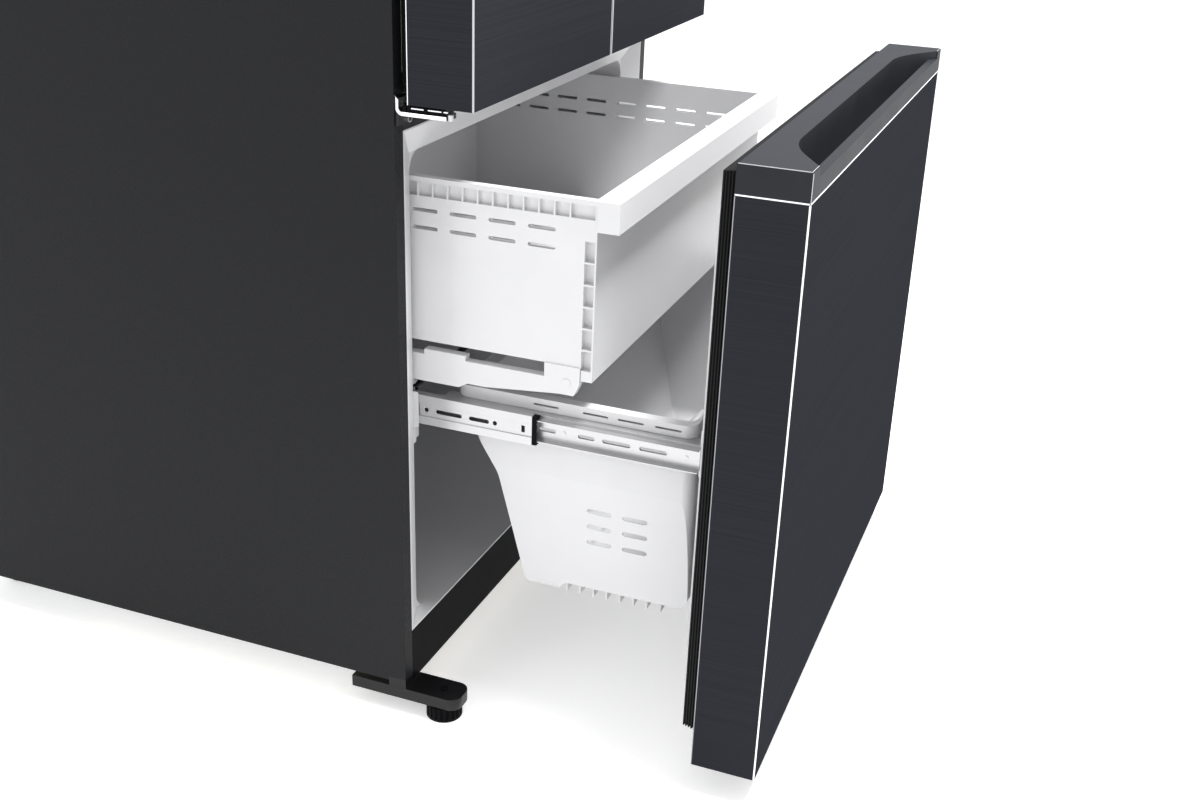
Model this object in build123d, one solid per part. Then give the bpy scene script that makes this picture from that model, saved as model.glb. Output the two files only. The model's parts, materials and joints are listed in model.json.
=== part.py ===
from build123d import *
import math
import os

os.makedirs("parts", exist_ok=True)

# Bottom freezer refrigerator with two upper doors and a pull-out freezer drawer, in millimetres.
# X runs to the right as seen from the front, the front faces -Y and Z is up.
# The floor is z = 0.  The origin is under the middle of the refrigerator with its drawer out.
# Depths named *_set are measured back from the front face of the closed doors.

# ---- overall sizes -------------------------------------------------------------------------
width = 817.0
depth = 797.0                    # closed doors' front face to the back panel
cabinet_top = 1746.0
drawer_travel = 364.0            # full stroke of the freezer drawer, which stands fully out
upper_drawer_share = 0.725       # share of that stroke that the upper drawer is carried along
middle_slide_share = 0.5         # a middle slide member moves half as far as the drawer
running_gap = 0.3                # between pieces that slide or turn past each other
pin_gap = 0.1                    # radial play of a pin or a journal in its hole
sheet = 1.0                      # steel sheet of the cabinet and the door skins
plastic = 3.0                    # moulded plastic walls

# ---- doors, outside ------------------------------------------------------------------------
door_bottom = 38.5               # lower edge of the freezer door above the floor
freezer_skin_height = 694.7
cap_height = 32.3                # plastic cap with the handle pocket on the freezer door
door_gap = 16.8                  # between the freezer door and the upper doors
door_thickness = 77.6
gasket_gap = 16.15               # closed door back to cabinet front
split_gap = 4.0                  # between the two upper doors
top_cap_height = 6.0             # visible edge of the upper doors' top caps
door_top_gap = 0.5               # under the top hinges
skin_return = 12.0               # skin folded in behind a door
end_cap_depth = 20.0             # how far an end cap reaches into a door
skin_radius = 2.0
end_plate = 8.0
cap_edge = 1.2

# ---- cabinet shell -------------------------------------------------------------------------
side_bottom = 44.0               # lower edge of the side panels
front_flange = 19.5
rear_flange = 18.0
deck_bottom = 36.0               # underside of the base pan
deck_sheet = 1.5
deck_rim = 22.0                  # base pan's upturned edge
pan_inset = 14.0                 # base pan's sides inside the side panels
toe_thickness = 3.0

rail_depth = 6.0                 # front rail between the compartments
grille_margin = 40.0
grille_length = 90.0
grille_columns = (-330.0, -225.0, -120.0, -15.0, 90.0, 195.0)
cover_screw_inset = 12.0
cover_screw_rise = 14.0
gland_inset = 58.5               # mains inlet in the machine cover, from its right edge
gland_z = 110.0
gland_wall = 3.0
gland_length = 12.0
top_hinge_screw_steps = (30.0, 62.0)   # behind the cabinet front

# ---- liners --------------------------------------------------------------------------------
side_wall = 62.5                 # cabinet side to liner opening
liner = 2.0
freezer_opening = (114.5, 714.0)
freezer_flange = (112.5, 749.0)
fresh_bottom = 832.0             # fresh-food opening's lower edge, and its flange's
fresh_flange_bottom = 812.0
fresh_top_drop = 50.0            # opening's and flange's upper edges below the cabinet's top
fresh_flange_drop = 20.0
flange_slope = 16.2              # the flange leans back this far towards the opening
freezer_back_wall = 62.0         # inner face of the freezer's back wall to the back panel
fresh_back_wall = 56.0
step_wall_depth = 241.0          # front of the step over the machine compartment, to the back
step_top = 340.0
liner_corner = 22.0              # round corners inside the liners

# ---- machine compartment -------------------------------------------------------------------
machine_depth = 191.0            # machine compartment's bulkhead to the back
machine_top = 290.0
grille_slot = 5.0
grille_pitch = 14.0

# ---- freezer door ---------------------------------------------------------------------------
pocket_end_inset = 28.5          # handle pocket's ends from the door's sides, at its front
pocket_end_set = 2.0             # its slanted ends start this far behind the door front
pocket_slant = 75.0              # its slanted ends meet the straight back edge this far in
pocket_back_set = 46.0           # back edge behind the door front
pocket_lip = 11.0                # thickness of the front lip
pocket_lip_drop = 11.0           # lip below the cap's top
pocket_depth = 58.0              # from the cap's top to the pocket's floor
pocket_wall = 2.5
pocket_round = 150.0             # wide round corners between the slants and the back edge
dike_inset = 71.5                # raised ring on the back of the freezer door, from the door's side
dike_wall = 26.0
dike_height = 34.9
freezer_dike = (134.0, 706.0)
dike_corner = 24.0
gasket_width = 22.0
gasket_inset = 6.5               # freezer gasket's outer edge from the door's side
freezer_gasket = (82.5, 756.5)
gasket_clear = 0.4               # closed gasket to the cabinet front
gasket_base = 6.0
gasket_step = 4.0

# ---- upper doors ----------------------------------------------------------------------------
hinge_inset = 15.5               # hinge axis from the cabinet's side
hinge_set = 40.0
hinge_pin_r = 4.0
hinge_side_gasket = 1.5          # gasket's outer edge inside the hinge axis
door_gasket_inner = 6.0          # gasket's inner edge from the middle
door_gasket_bottom = 791.0
door_gasket_drop = 8.0           # gasket's upper edge below the cabinet's top
door_dike_start = 47.0           # raised ring's inner side from the middle
door_dike_inset = 72.5           # and its outer side from the cabinet's side
door_dike_bottom = 842.0
door_dike_drop = 60.0
recess_start = 40.0              # finger recess under each upper door, from the middle
recess_inset = 68.5
door_pocket_height = 34.0
door_pocket_sets = (16.0, 52.0)
hole_spare = 0.5                 # blind holes are this much deeper than their pins
bin_depth = 105.0
bin_wall = 2.5
low_bin_rise = 38.0              # lowest bin's floor above the ring's lower side
top_bin_drop = 286.0             # highest bin's floor below the ring's upper side
middle_bin_lift = 10.0           # middle bin's floor above the point halfway between these
bin_heights = (150.0, 110.0, 110.0)
bin_start = 3.0                  # bins' back off the door liner, inside the dike
mullion_reach = 49.0             # from its pivot to its free edge
mullion_thickness = 14.0
mullion_pivot_x = 22.0
mullion_pin_r = 2.5
mullion_end = 8.0                # bar ends inside the dike's ends
mullion_top_spare = 8.0          # and this much lower again at the top
mullion_lug = 8.0
mullion_lug_half = 5.5
mullion_lug_root = 12.0          # lugs start this far inside the ring's edge
mullion_face_gap = 0.25          # bar across the split to the gaskets' back

# ---- middle and top hinges ------------------------------------------------------------------
arm_half = 13.0                  # half width of a hinge arm
arm_thickness = 4.5
middle_arm_bottom = 769.5
middle_flange = (758.0, 788.0)   # upright flange on the cabinet's front
hinge_screw_z = (763.5, 781.0)
hinge_screw_step = 8.0           # hinge screws inboard of the hinge axis
hinge_bend = 9.0
hinge_washer_r = 9.0
pin_reach = 12.0                 # pin length inside a door cap
top_plate = 3.0
cover_height = 30.0
cover_wall = 2.5
cover_inner = 29.0               # from the hinge axis towards the middle
cover_outer = 15.0
cover_round = 6.0
cover_front = 17.0               # ahead of the hinge axis
cover_length = 150.0
top_arm_half = 11.5
top_arm_length = 135.0

# ---- leg brackets, feet and rear rollers -----------------------------------------------------
bracket_inset = 0.5              # from the cabinet's side
bracket_width = 42.0
bracket_front_set = 22.0
bracket_back_set = 172.0
bracket_plate = 3.0
bracket_skirt_bottom = 20.0
bracket_corner = 15.0
bracket_tab_depth = 24.0         # corner block let into the side panel's lower corner
bracket_tab_top = 50.0
foot_inset = 21.5                # foot's axis from the cabinet's side
foot_set = 50.0
foot_base = 4.0                  # plain rim under the ribs
foot_r = 23.0
foot_height = 19.0
foot_ribs = 20
foot_rib_depth = 1.6
stem_r = 5.0
stem_top = 37.3                  # stays under the closed freezer door
roller_r = 17.0
roller_width = 20.0
roller_inset = 63.5
roller_to_back = 31.0
roller_pin_r = 4.0
ear_thickness = 2.0
ear_half = 14.0

# ---- slides ----------------------------------------------------------------------------------
slide_z = 399.5                  # height of the slides' middle line
slide_length = 350.0
slide_sheet = 1.2
outer_half = 22.5                # half heights of the three nested members
middle_half = 19.0
inner_half = 14.0
outer_depth = 12.0
middle_depth = 10.5
inner_depth = 10.0
outer_slide_set = 114.0          # front end of the fixed member
middle_slide_set = 136.2         # front ends of the moving members, drawer closed
inner_slide_set = 114.0
stop_length = 6.0                # black end stop ahead of the middle member
clip_front_set = 103.0           # clip plate ahead of the fixed member
clip_root_set = 110.0            # narrow root of the clip's foot
clip_foot_sets = (115.3, 135.0)
clip_foot_z = (352.0, 375.5)
clip_root_depth = 7.0
clip_foot_depth = 24.0
clip_plate = 1.1
track_half = 8.5                 # flat web between the raised ball tracks of the middle member
track_step = 1.5
stop_half = 18.0
slide_slot = 5.0
inner_slots = ((302.4, 22.0), (253.0, 21.0), (215.5, 35.0), (170.2, 34.0))   # middle and length
rivet_sets = (281.0, 130.0)      # rivets that hold the inner member to the arm
rivet_r = 2.3
rivet_head = 0.6
middle_slots = ((245.5, 34.0), (205.6, 26.0))
middle_holes = (275.4, 184.7)
middle_hole_r = 2.7
middle_window = (148.0, 4.5, 8.5)   # set, length and height

# ---- drawer arms and lower bin ---------------------------------------------------------------
arm_plate = 2.0
arm_z = (384.0, 417.0)
arm_lug_top = 422.0
arm_ledge = 18.0
arm_back_set = 500.0             # rear end of the arms, drawer closed
arm_ledge_back_set = 440.0
arm_foot_width = 22.0
arm_foot_z = (378.0, 436.0)
arm_lug = 6.0
bin_front_set = 126.5
bin_back_set = 411.0
bin_round = 18.0                 # front lower corner, and the long lower edges
bin_corner = 14.0                # upright corners
bin_rim_corner = 15.0
bin_rim_gap = 23.0               # rim's side to the liner's side wall
bin_side_gap = 35.0              # upright sides of the bin, down to the crease
bin_foot_gap = 50.0              # narrowed bottom of the bin
bin_rim_front_set = 124.5
bin_rim_back_set = 427.5
bin_rim_top = 433.0
bin_rim_skirt = 15.7
bin_crease = 328.0               # the sides draw in below this height
bin_bottom = 157.5
bin_step_sets = (288.0, 302.0)   # the underside steps down from the fins to the rear
bin_rear_corner_set = 341.0      # the rear wall leans back from here
bin_bend = (377.0, 318.0)        # to this bend, set and height, and on to the upright rear
bin_upright_z = 372.0
bin_bend_round = 60.0
bin_step_round = 8.0
bin_fin_root = 175.0             # raised underside that carries the fins
bin_fins = 8
bin_fin_tip = 155.5
bin_fin_pitch = 17.9
bin_fin_first_set = 165.5
bin_fin_thickness = 2.5
bin_fin_gap = 62.0               # fins' ends to the liner's side wall
bin_slot_length = 32.0
bin_slot_height = 6.5
bin_slot_pitch = (46.2, 22.3)
bin_slot_first = (196.5, 244.5)  # middle of the lowest front slot: set and height
rim_slot_length = 32.0           # slots in the rim's skirt
rim_slot_height = 2.5
rim_slot_sets = (157.0, 203.0, 247.0, 309.5)
rim_slot_z = 425.0

# ---- upper drawer ----------------------------------------------------------------------------
drawer_front_set = 120.4         # closed
drawer_rear_gap = 33.6           # drawer's rear to the evaporator cover, closed
drawer_side_gap = 4.0            # drawer's rim to the liner's side wall
fascia_depth = 26.0
fascia_z = (652.0, 687.0)
rim_thickness = 6.0
drawer_wall_step = 1.5           # lower side wall inside the rim's edge
drawer_channel_step = 7.0        # wall inside the ribbed channel below the rim
channel_bottom = 664.5
channel_rib_first_set = 179.0
channel_rib_pitch = 18.75
channel_rib = 2.0
drawer_bottom = 488.5            # underside of the drawer's floor
drawer_front_bottom = 472.5      # its front wall and corner columns reach lower
air_slot_length = 33.5
air_slot_height = 4.5
air_slot_pitch = 48.6
air_slot_rows = (648.0, 627.0)
air_slot_first_set = 212.5
column_width = 14.0              # ribbed column at the front corners
column_depth = 15.5              # from the drawer's side inward
column_groove = 8.0
column_rib_pitch = 26.0
runner_width = 12.0
runner_rear_z = 437.0            # underside of the runner at the back
runner_top = 471.5
runner_block = 30.0              # length of the hidden blocks that carry the drawer
runner_block_back = 36.0         # rearmost block's front edge to the runner's end
runner_front_set = 161.0
runner_block_set = 205.0         # solid up to the drawer in front of this
runner_notch_sets = (303.5, 314.5)     # the underside slopes down to the rear between these
runner_front = ((0.0, 468.0), (7.0, 452.8), (25.5, 452.8), (120.0, 443.5))   # from its front, and z
runner_boss = (177.5, 467.0)     # round boss beside the front, set and z
runner_boss_r = 6.0
runner_boss_height = 0.8
runner_hook = (306.0, 360.0)     # raised foot under the drawer, closed
runner_hook_top = 478.0
runner_rear_step = 0.4           # runner's end inside the drawer's rear

# ---- side rails with racks, and the stabiliser shaft -----------------------------------------
rail_length = 504.0
rail_wall = 2.0
rail_top = 447.0
rack_module = 1.5
pinion_teeth = 12
pressure_angle = 20.0
rack_addendum = 0.9
pinion_addendum = 1.2
mesh_play = 0.4                  # backlash, taken off the rack's teeth
rack_face_gaps = (22.0, 15.3)    # rack's inner and outer faces to the liner's side wall
rack_root_z = 426.0
pinion_set = 488.0               # drawer closed
rack_back = 3.0                  # solid back of the rack above its teeth
rack_end_set = 502.0
flank_steps = 5
shaft_r = 4.0
journal_r = 3.0

# ---- fresh-food compartment fittings ---------------------------------------------------------
shelf_gap = 4.0                  # between a shelf's frame and the liner's side wall
shelf_front_set = 215.0
shelf_to_back = 157.0
shelf_count = 4
lowest_shelf = 1010.0            # its top; it covers the crispers
shelf_headroom = 6.0             # more room above the highest shelf than between two of them
glass_thickness = 4.0
shelf_rim = 16.0
shelf_rim_height = 12.0
ledge_depth = 6.4
ledge_height = 8.0
crisper_front_set = 230.0
crisper_to_back = 187.0
crisper_side_gap = 10.0          # rim to the liner's side wall
crisper_inner = 6.0
crisper_rim = 9.0
crisper_z = (842.0, 985.0)
crisper_hanger = 3.0
crisper_ledge_gap = 2.0          # hangers' ledges stop this far short of the crisper's wall
crisper_rim_thickness = 4.0
crisper_grip = (200.0, 22.0)     # lowered middle of a crisper's front wall
duct_half = 120.0
duct_bottom = 1030.0
duct_top_drop = 106.0            # below the cabinet's top
duct_depth = 36.0
duct_slots = 6
duct_slot = (160.0, 8.0)
light_half = 180.0
light_sets = (200.0, 420.0)
light_thickness = 20.0

# ---- cooling system --------------------------------------------------------------------------
cover_standoff = 85.0            # evaporator cover's front face to the freezer's back wall
cover_thickness = 4.0
cover_slots = 5
cover_slot = (110.0, 7.0)
cover_slot_pitch = 18.0
evaporator_half = 240.0
evaporator_standoff = (67.0, 13.0)   # its front and rear to the freezer's back wall
evaporator_z = (370.0, 540.0)
evaporator_fins = 25
fin_sheet = 1.5
tube_r = 4.0
tube_rows = 4
freezer_fan_z = 625.0
freezer_fan_r = 58.0
fan_hub_r = 16.0
fan_blades = 5
fan_blade_sheet = 2.5
fan_blade_width = 16.0
freezer_fan_standoff = 59.0
fan_shaft_r = 2.5
fan_motor_r = 24.0
fan_motor_length = 22.0
fan_twist = 32.0                 # blade angle to the plane of the fan
motor_post = (16.0, 30.0)        # post under the condenser fan's motor
compressor_r = 78.0
compressor_height = 165.0
compressor_x = 205.0
compressor_to_back = 95.0
compressor_lift = 14.0           # rubber feet
grommet_r = 12.0
grommet_spread = 72.0
compressor_plate = 3.0
compressor_dome = 34.0
condenser_x = (-330.0, -110.0)
condenser_to_back = (157.0, 32.0)
condenser_z = (62.0, 232.0)
condenser_fan_x = -60.0
condenser_fan_r = 72.0
condenser_fan_z = 150.0
condenser_fins = 18
condenser_rows = (3, 5)          # tube rows in depth and height
tray_margin = 8.0
tray_height = 20.0
gland_r = 9.0                    # mains inlet gland in the machine cover

# ---- fasteners -------------------------------------------------------------------------------
screw_head_r = 5.0
screw_head = 2.5
screw_r = 2.4

# ---- places worked out from the sizes above --------------------------------------------------
half_width = width / 2
fresh_opening = (fresh_bottom, cabinet_top - fresh_top_drop)
fresh_flange = (fresh_flange_bottom, cabinet_top - fresh_flange_drop)
freezer_back_set = depth - freezer_back_wall
fresh_back_set = depth - fresh_back_wall
step_wall_set = depth - step_wall_depth
machine_front_set = depth - machine_depth
gland_place = (half_width - gland_inset, gland_z)
pan_half = half_width - sheet - pan_inset
dike_half = half_width - dike_inset
gasket_half = half_width - gasket_inset
hinge_x = half_width - hinge_inset
hinge_screw_x = hinge_x - hinge_screw_step
door_gasket_outer = hinge_x - hinge_side_gasket
door_gasket_z = (door_gasket_bottom, cabinet_top - door_gasket_drop)
door_dike_x = (door_dike_start, half_width - door_dike_inset)
door_dike_z = (door_dike_bottom, cabinet_top - door_dike_drop)
low_bin_floor = door_dike_z[0] + low_bin_rise
top_bin_floor = door_dike_z[1] - top_bin_drop
bin_floors = (low_bin_floor, (low_bin_floor + top_bin_floor) / 2 + middle_bin_lift, top_bin_floor)
door_pocket_x = (recess_start, half_width - recess_inset)
bracket_outer = half_width - bracket_inset
bracket_inner = bracket_outer - bracket_width
foot_x = foot_inset - half_width
roller_x = half_width - roller_inset
roller_set = depth - roller_to_back
door_front = (drawer_travel - depth) / 2          # front face of the closed doors
back_face = door_front + depth
door_back = door_front + door_thickness
cabinet_front = door_back + gasket_gap
liner_half = half_width - side_wall
freezer_skin_top = door_bottom + freezer_skin_height
freezer_top = freezer_skin_top + cap_height
pocket_half = half_width - pocket_end_inset
pocket_corner_half = pocket_half - pocket_slant
upper_bottom = freezer_top + door_gap
upper_top = cabinet_top - door_top_gap
flange_outer = half_width - front_flange          # liner flange meets the steel flange here
dike_back = door_back + dike_height
gasket_back = cabinet_front - gasket_clear
hinge_y = door_front + hinge_set
pitch_r = rack_module * pinion_teeth / 2
rack_pitch_z = rack_root_z - pinion_addendum - running_gap
pinion_z = rack_pitch_z - pitch_r
bin_rim_half = liner_half - bin_rim_gap
bin_top_half = liner_half - bin_side_gap
bin_bottom_half = liner_half - bin_foot_gap
bin_fin_half = liner_half - bin_fin_gap
cover_set = freezer_back_set - cover_standoff
drawer_length = cover_set - drawer_rear_gap - drawer_front_set
drawer_half = liner_half - drawer_side_gap
drawer_side_half = drawer_half - drawer_wall_step
drawer_channel_half = drawer_half - drawer_channel_step
runner_half = drawer_half
runner_back_set = drawer_front_set + drawer_length - runner_rear_step
rear_block_set = runner_back_set - runner_block_back
middle_block_set = (runner_hook[1] + rear_block_set - runner_block) / 2
runner_blocks = tuple((start, start + runner_block) for start in (middle_block_set, rear_block_set))
rail_front_set = door_thickness + dike_height + arm_plate + sheet
rail_back_set = rail_front_set + rail_length
rack_face = tuple(liner_half - gap for gap in rack_face_gaps)
shelf_half = liner_half - shelf_gap
shelf_sets = (shelf_front_set, depth - shelf_to_back)
shelf_pitch = (fresh_opening[1] - lowest_shelf - shelf_headroom) / shelf_count
shelf_heights = tuple(lowest_shelf + number * shelf_pitch for number in range(shelf_count))
crisper_back_set = depth - crisper_to_back
crisper_outer = liner_half - crisper_side_gap
duct_z = (duct_bottom, cabinet_top - duct_top_drop)
duct_front_set = fresh_back_set - duct_depth
evaporator_sets = tuple(freezer_back_set - gap for gap in evaporator_standoff)
freezer_fan_set = freezer_back_set - freezer_fan_standoff
compressor_set = depth - compressor_to_back
condenser_sets = tuple(depth - gap for gap in condenser_to_back)


# ---- small shape helpers ---------------------------------------------------------------------
def block(x, y, z):
    """Box between the low and high values given for each axis."""
    centre = Pos((x[0] + x[1]) / 2, (y[0] + y[1]) / 2, (z[0] + z[1]) / 2)
    return centre * Box(x[1] - x[0], y[1] - y[0], z[1] - z[0])


def set_at(*depths):
    """Row y values of places measured back from the closed doors' front."""
    return tuple(door_front + value for value in depths)


def rod(axis, start, length, radius):
    """Cylinder from a start point along +X, +Y or +Z."""
    turn = {"x": (0, 90, 0), "y": (-90, 0, 0), "z": (0, 0, 0)}[axis]
    shape = Cylinder(radius, length, align=(Align.CENTER, Align.CENTER, Align.MIN))
    return Pos(*start) * Rot(*turn) * shape


def rounded_face(corners):
    """Flat face from corners given as two coordinates and the radius of that corner."""
    face = make_face(Polyline(*[corner[:2] for corner in corners], close=True))
    for first, second, radius in corners:
        if radius > 0.0:
            face = fillet(face.vertices().sort_by_distance((first, second, 0))[0], radius)
    return face


def side_profile(points, x):
    """Solid between two x values whose outline in (y, z) is the list of points or a face."""
    plane = Plane(origin=(x[0], 0, 0), x_dir=(0, 1, 0), z_dir=(1, 0, 0))
    face = make_face(Polyline(*points, close=True)) if isinstance(points, list) else points
    return extrude(plane * face, x[1] - x[0])


def plan_profile(points, z):
    """Upright solid between two z values whose outline in plan is the list of points."""
    return extrude(Plane.XY.offset(z[0]) * make_face(Polyline(*points, close=True)), z[1] - z[0])


def front_profile(face, y):
    """Solid between two y values from a face that is the same on the left and on the right."""
    plane = Plane(origin=(0, y[0], 0), x_dir=(-1, 0, 0), z_dir=(0, 1, 0))
    return extrude(plane * face, y[1] - y[0])


def slot_cut(x, y, z, length, height):
    """Cutter with round ends, long in y, through the x range, centred on y and z."""
    plane = Plane(origin=(x[0], y, z), x_dir=(0, 1, 0), z_dir=(1, 0, 0))
    return extrude(plane * SlotOverall(length, height), x[1] - x[0])


def other_side(shape):
    """The same shape mirrored to the other side of the refrigerator."""
    return mirror(shape, about=Plane.YZ)


def both_sides(shape):
    return [shape, other_side(shape)]


def pulled(shape, share=1.0):
    """Moves a shape from its place with the drawer shut to its place with the drawer out."""
    return Pos(0, -share * drawer_travel, 0) * shape


def save(name, *shapes):
    solids = []
    for shape in shapes:
        solids.extend(shape.solids())
    export_step(Compound(solids), f"parts/{name}.step")


# ---- cabinet shell ---------------------------------------------------------------------------
def side_panel():
    """Left side panel: steel sheet with a folded flange at the front and at the back."""
    y = (cabinet_front, back_face - sheet)
    web = block((-half_width, -half_width + sheet), y, (side_bottom, cabinet_top))
    flange_z = (side_bottom, cabinet_top - sheet)
    front = block((-half_width, -flange_outer), (y[0], y[0] + sheet), flange_z)
    rear = block((-half_width, -half_width + rear_flange), (y[1] - sheet, y[1]), flange_z)
    panel = web + front + rear
    cuts = [rod("y", (x, y[1] - sheet, z), sheet, screw_r + pin_gap)
            for x, z in cover_screw_places() if x < 0]
    cuts.append(corner_tab(side_bottom))
    return panel - cuts


def corner_tab(bottom):
    """Block at the lower front corner of the left side panel, up from the given height."""
    y = (cabinet_front, cabinet_front + bracket_tab_depth)
    return block((-half_width, -flange_outer), y, (bottom, bracket_tab_top))


def top_panel():
    """Top sheet with a folded front flange above the upper compartment."""
    inside = half_width - sheet
    plate_z = (cabinet_top - sheet, cabinet_top)
    plate = block((-inside, inside), (cabinet_front, back_face - sheet), plate_z)
    flange = block((-flange_outer, flange_outer), (cabinet_front, cabinet_front + sheet),
                   (fresh_flange[1], cabinet_top))
    for x in (-hinge_x, hinge_x):
        for step in top_hinge_screw_steps:
            plate -= rod("z", (x, cabinet_front + step, plate_z[0]), sheet, screw_r + pin_gap)
    return plate + flange


def back_panel():
    return block((-half_width, half_width), (back_face - sheet, back_face), (machine_top, cabinet_top))


def machine_cover():
    """Louvred cover of the machine compartment with the mains inlet gland."""
    y = (back_face - sheet, back_face)
    cover = block((-half_width, half_width), y, (side_bottom, machine_top))
    rows = int((machine_top - side_bottom - 2 * grille_margin) / grille_pitch)
    inlet_x, inlet_z = gland_place
    cuts = [rod("y", (inlet_x, y[0], inlet_z), sheet, gland_r - gland_wall)]
    for row in range(rows):
        z = side_bottom + grille_margin + row * grille_pitch
        cuts += [block((x, x + grille_length), y, (z, z + grille_slot)) for x in grille_columns]
    for x, z in cover_screw_places():
        cuts.append(rod("y", (x, y[0], z), sheet, screw_r + pin_gap))
    cover -= cuts
    ring = rod("y", (inlet_x, y[0] - gland_length, inlet_z), gland_length, gland_r)
    ring -= rod("y", (inlet_x, y[0] - gland_length, inlet_z), gland_length, gland_r - gland_wall)
    return cover + ring


def cover_screw_places():
    """Screws of the machine cover, near its upper and lower corners, in x and z."""
    inset = half_width - cover_screw_inset
    low = side_bottom + cover_screw_rise
    high = machine_top - cover_screw_rise
    return [(x, z) for x in (-inset, inset) for z in (low, high)]


def base_pan():
    """Deck under the cabinet with upturned sides, the machine bulkhead and the roller ears."""
    inside = half_width - sheet
    front = cabinet_front + bracket_tab_depth
    back = back_face - 2 * sheet
    top = deck_bottom + deck_sheet
    bulkhead_y = door_front + machine_front_set
    bulkhead = (bulkhead_y, bulkhead_y + deck_sheet)
    pan = block((-pan_half, pan_half), (front, back), (deck_bottom, top))
    for x in (-pan_half, pan_half - deck_sheet):
        pan += block((x, x + deck_sheet), (front, back), (deck_bottom, deck_bottom + deck_rim))
    pan += block((-pan_half, pan_half), bulkhead, (deck_bottom, side_bottom))
    pan += block((-inside, inside), bulkhead, (side_bottom, machine_top))
    pan += block((-inside, inside), (bulkhead_y, back), (machine_top, machine_top + deck_sheet))
    roller_y = door_front + roller_set
    for side in (-1, 1):
        for face in (-1, 1):
            middle = side * roller_x + face * (roller_width / 2 + running_gap + ear_thickness / 2)
            ear = block((middle - ear_thickness / 2, middle + ear_thickness / 2),
                        (roller_y - ear_half, roller_y + ear_half), (roller_r, deck_bottom))
            ear += rod("x", (middle - ear_thickness / 2, roller_y, roller_r), ear_thickness, ear_half)
            ear -= rod("x", (middle - ear_thickness, roller_y, roller_r), 2 * ear_thickness,
                       roller_pin_r + pin_gap)
            pan += ear
    return pan


def toe_panel():
    """Black plate below the freezer opening, level with the cabinet's front."""
    y = (cabinet_front, cabinet_front + toe_thickness)
    return block((-flange_outer, flange_outer), y, (door_bottom, freezer_flange[0]))


def rail_block():
    """Plain front rail between the two compartments."""
    y = (cabinet_front, cabinet_front + rail_depth)
    return block((-flange_outer, flange_outer), y, (freezer_flange[1], fresh_flange[0]))


def divider_rail():
    """Front rail that carries the middle hinges, with their screw holes."""
    holes = []
    for z in hinge_screw_z:
        hole = rod("y", (-hinge_screw_x, cabinet_front, z), rail_depth, screw_r + pin_gap)
        holes += both_sides(hole)
    return rail_block() - holes


# ---- liners and insulation --------------------------------------------------------------------
def throat(half_front, z_front, half_back, z_back):
    """Four-sided funnel from the cabinet's front plane back to the compartment."""
    sections = []
    for y, half, z in ((cabinet_front, half_front, z_front),
                       (cabinet_front + flange_slope, half_back, z_back)):
        plane = Plane(origin=(0, y, (z[0] + z[1]) / 2), x_dir=(-1, 0, 0), z_dir=(0, 1, 0))
        sections.append(plane * Rectangle(2 * half, z[1] - z[0]))
    return loft(sections, ruled=True)


def grown(z, wall):
    return (z[0] - wall, z[1] + wall)


def liner_shell(opening, flange, cavity, envelope):
    """Thin shell from a cavity and the envelope round it, with its sloped front flange."""
    outer = throat(flange_outer, flange, liner_half + liner, (flange[0], opening[1] + liner))
    lip = (min(flange[0] + liner, opening[0]), flange[1] - liner)
    inner = throat(flange_outer - liner, lip, liner_half, opening)
    return (outer + envelope) - [inner, cavity]


def freezer_cavity(wall=0.0):
    """Room inside the freezer liner, or the envelope round it when a wall is given."""
    start = cabinet_front + flange_slope
    x = (-liner_half - wall, liner_half + wall)
    step_y = door_front + step_wall_set + wall
    back = door_front + freezer_back_set + wall
    z = grown(freezer_opening, wall)
    room = block(x, (start, back), z)
    if wall == 0.0:
        room = fillet(room.edges().filter_by(Axis.Y), liner_corner)
    room -= block(x, (step_y, back), (z[0], step_top - wall))
    return room


def fresh_cavity(wall=0.0):
    start = cabinet_front + flange_slope
    back = door_front + fresh_back_set + wall
    room = block((-liner_half - wall, liner_half + wall), (start, back), grown(fresh_opening, wall))
    if wall == 0.0:
        room = fillet(room.edges().filter_by(Axis.Y), liner_corner)
    return room


def freezer_liner():
    return liner_shell(freezer_opening, freezer_flange, freezer_cavity(), freezer_cavity(liner))


def shelf_ledges():
    """Moulded ledges on both side walls under each shelf's edge."""
    ledges = []
    for top in shelf_heights:
        z_top = top - shelf_rim_height
        left = block((-liner_half - liner / 2, -liner_half + ledge_depth), set_at(*shelf_sets),
                     (z_top - ledge_height, z_top))
        ledges.extend(both_sides(left))
    return ledges


def fresh_liner():
    shell = liner_shell(fresh_opening, fresh_flange, fresh_cavity(), fresh_cavity(liner))
    for ledge in shelf_ledges():
        shell += ledge
    return shell


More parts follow.
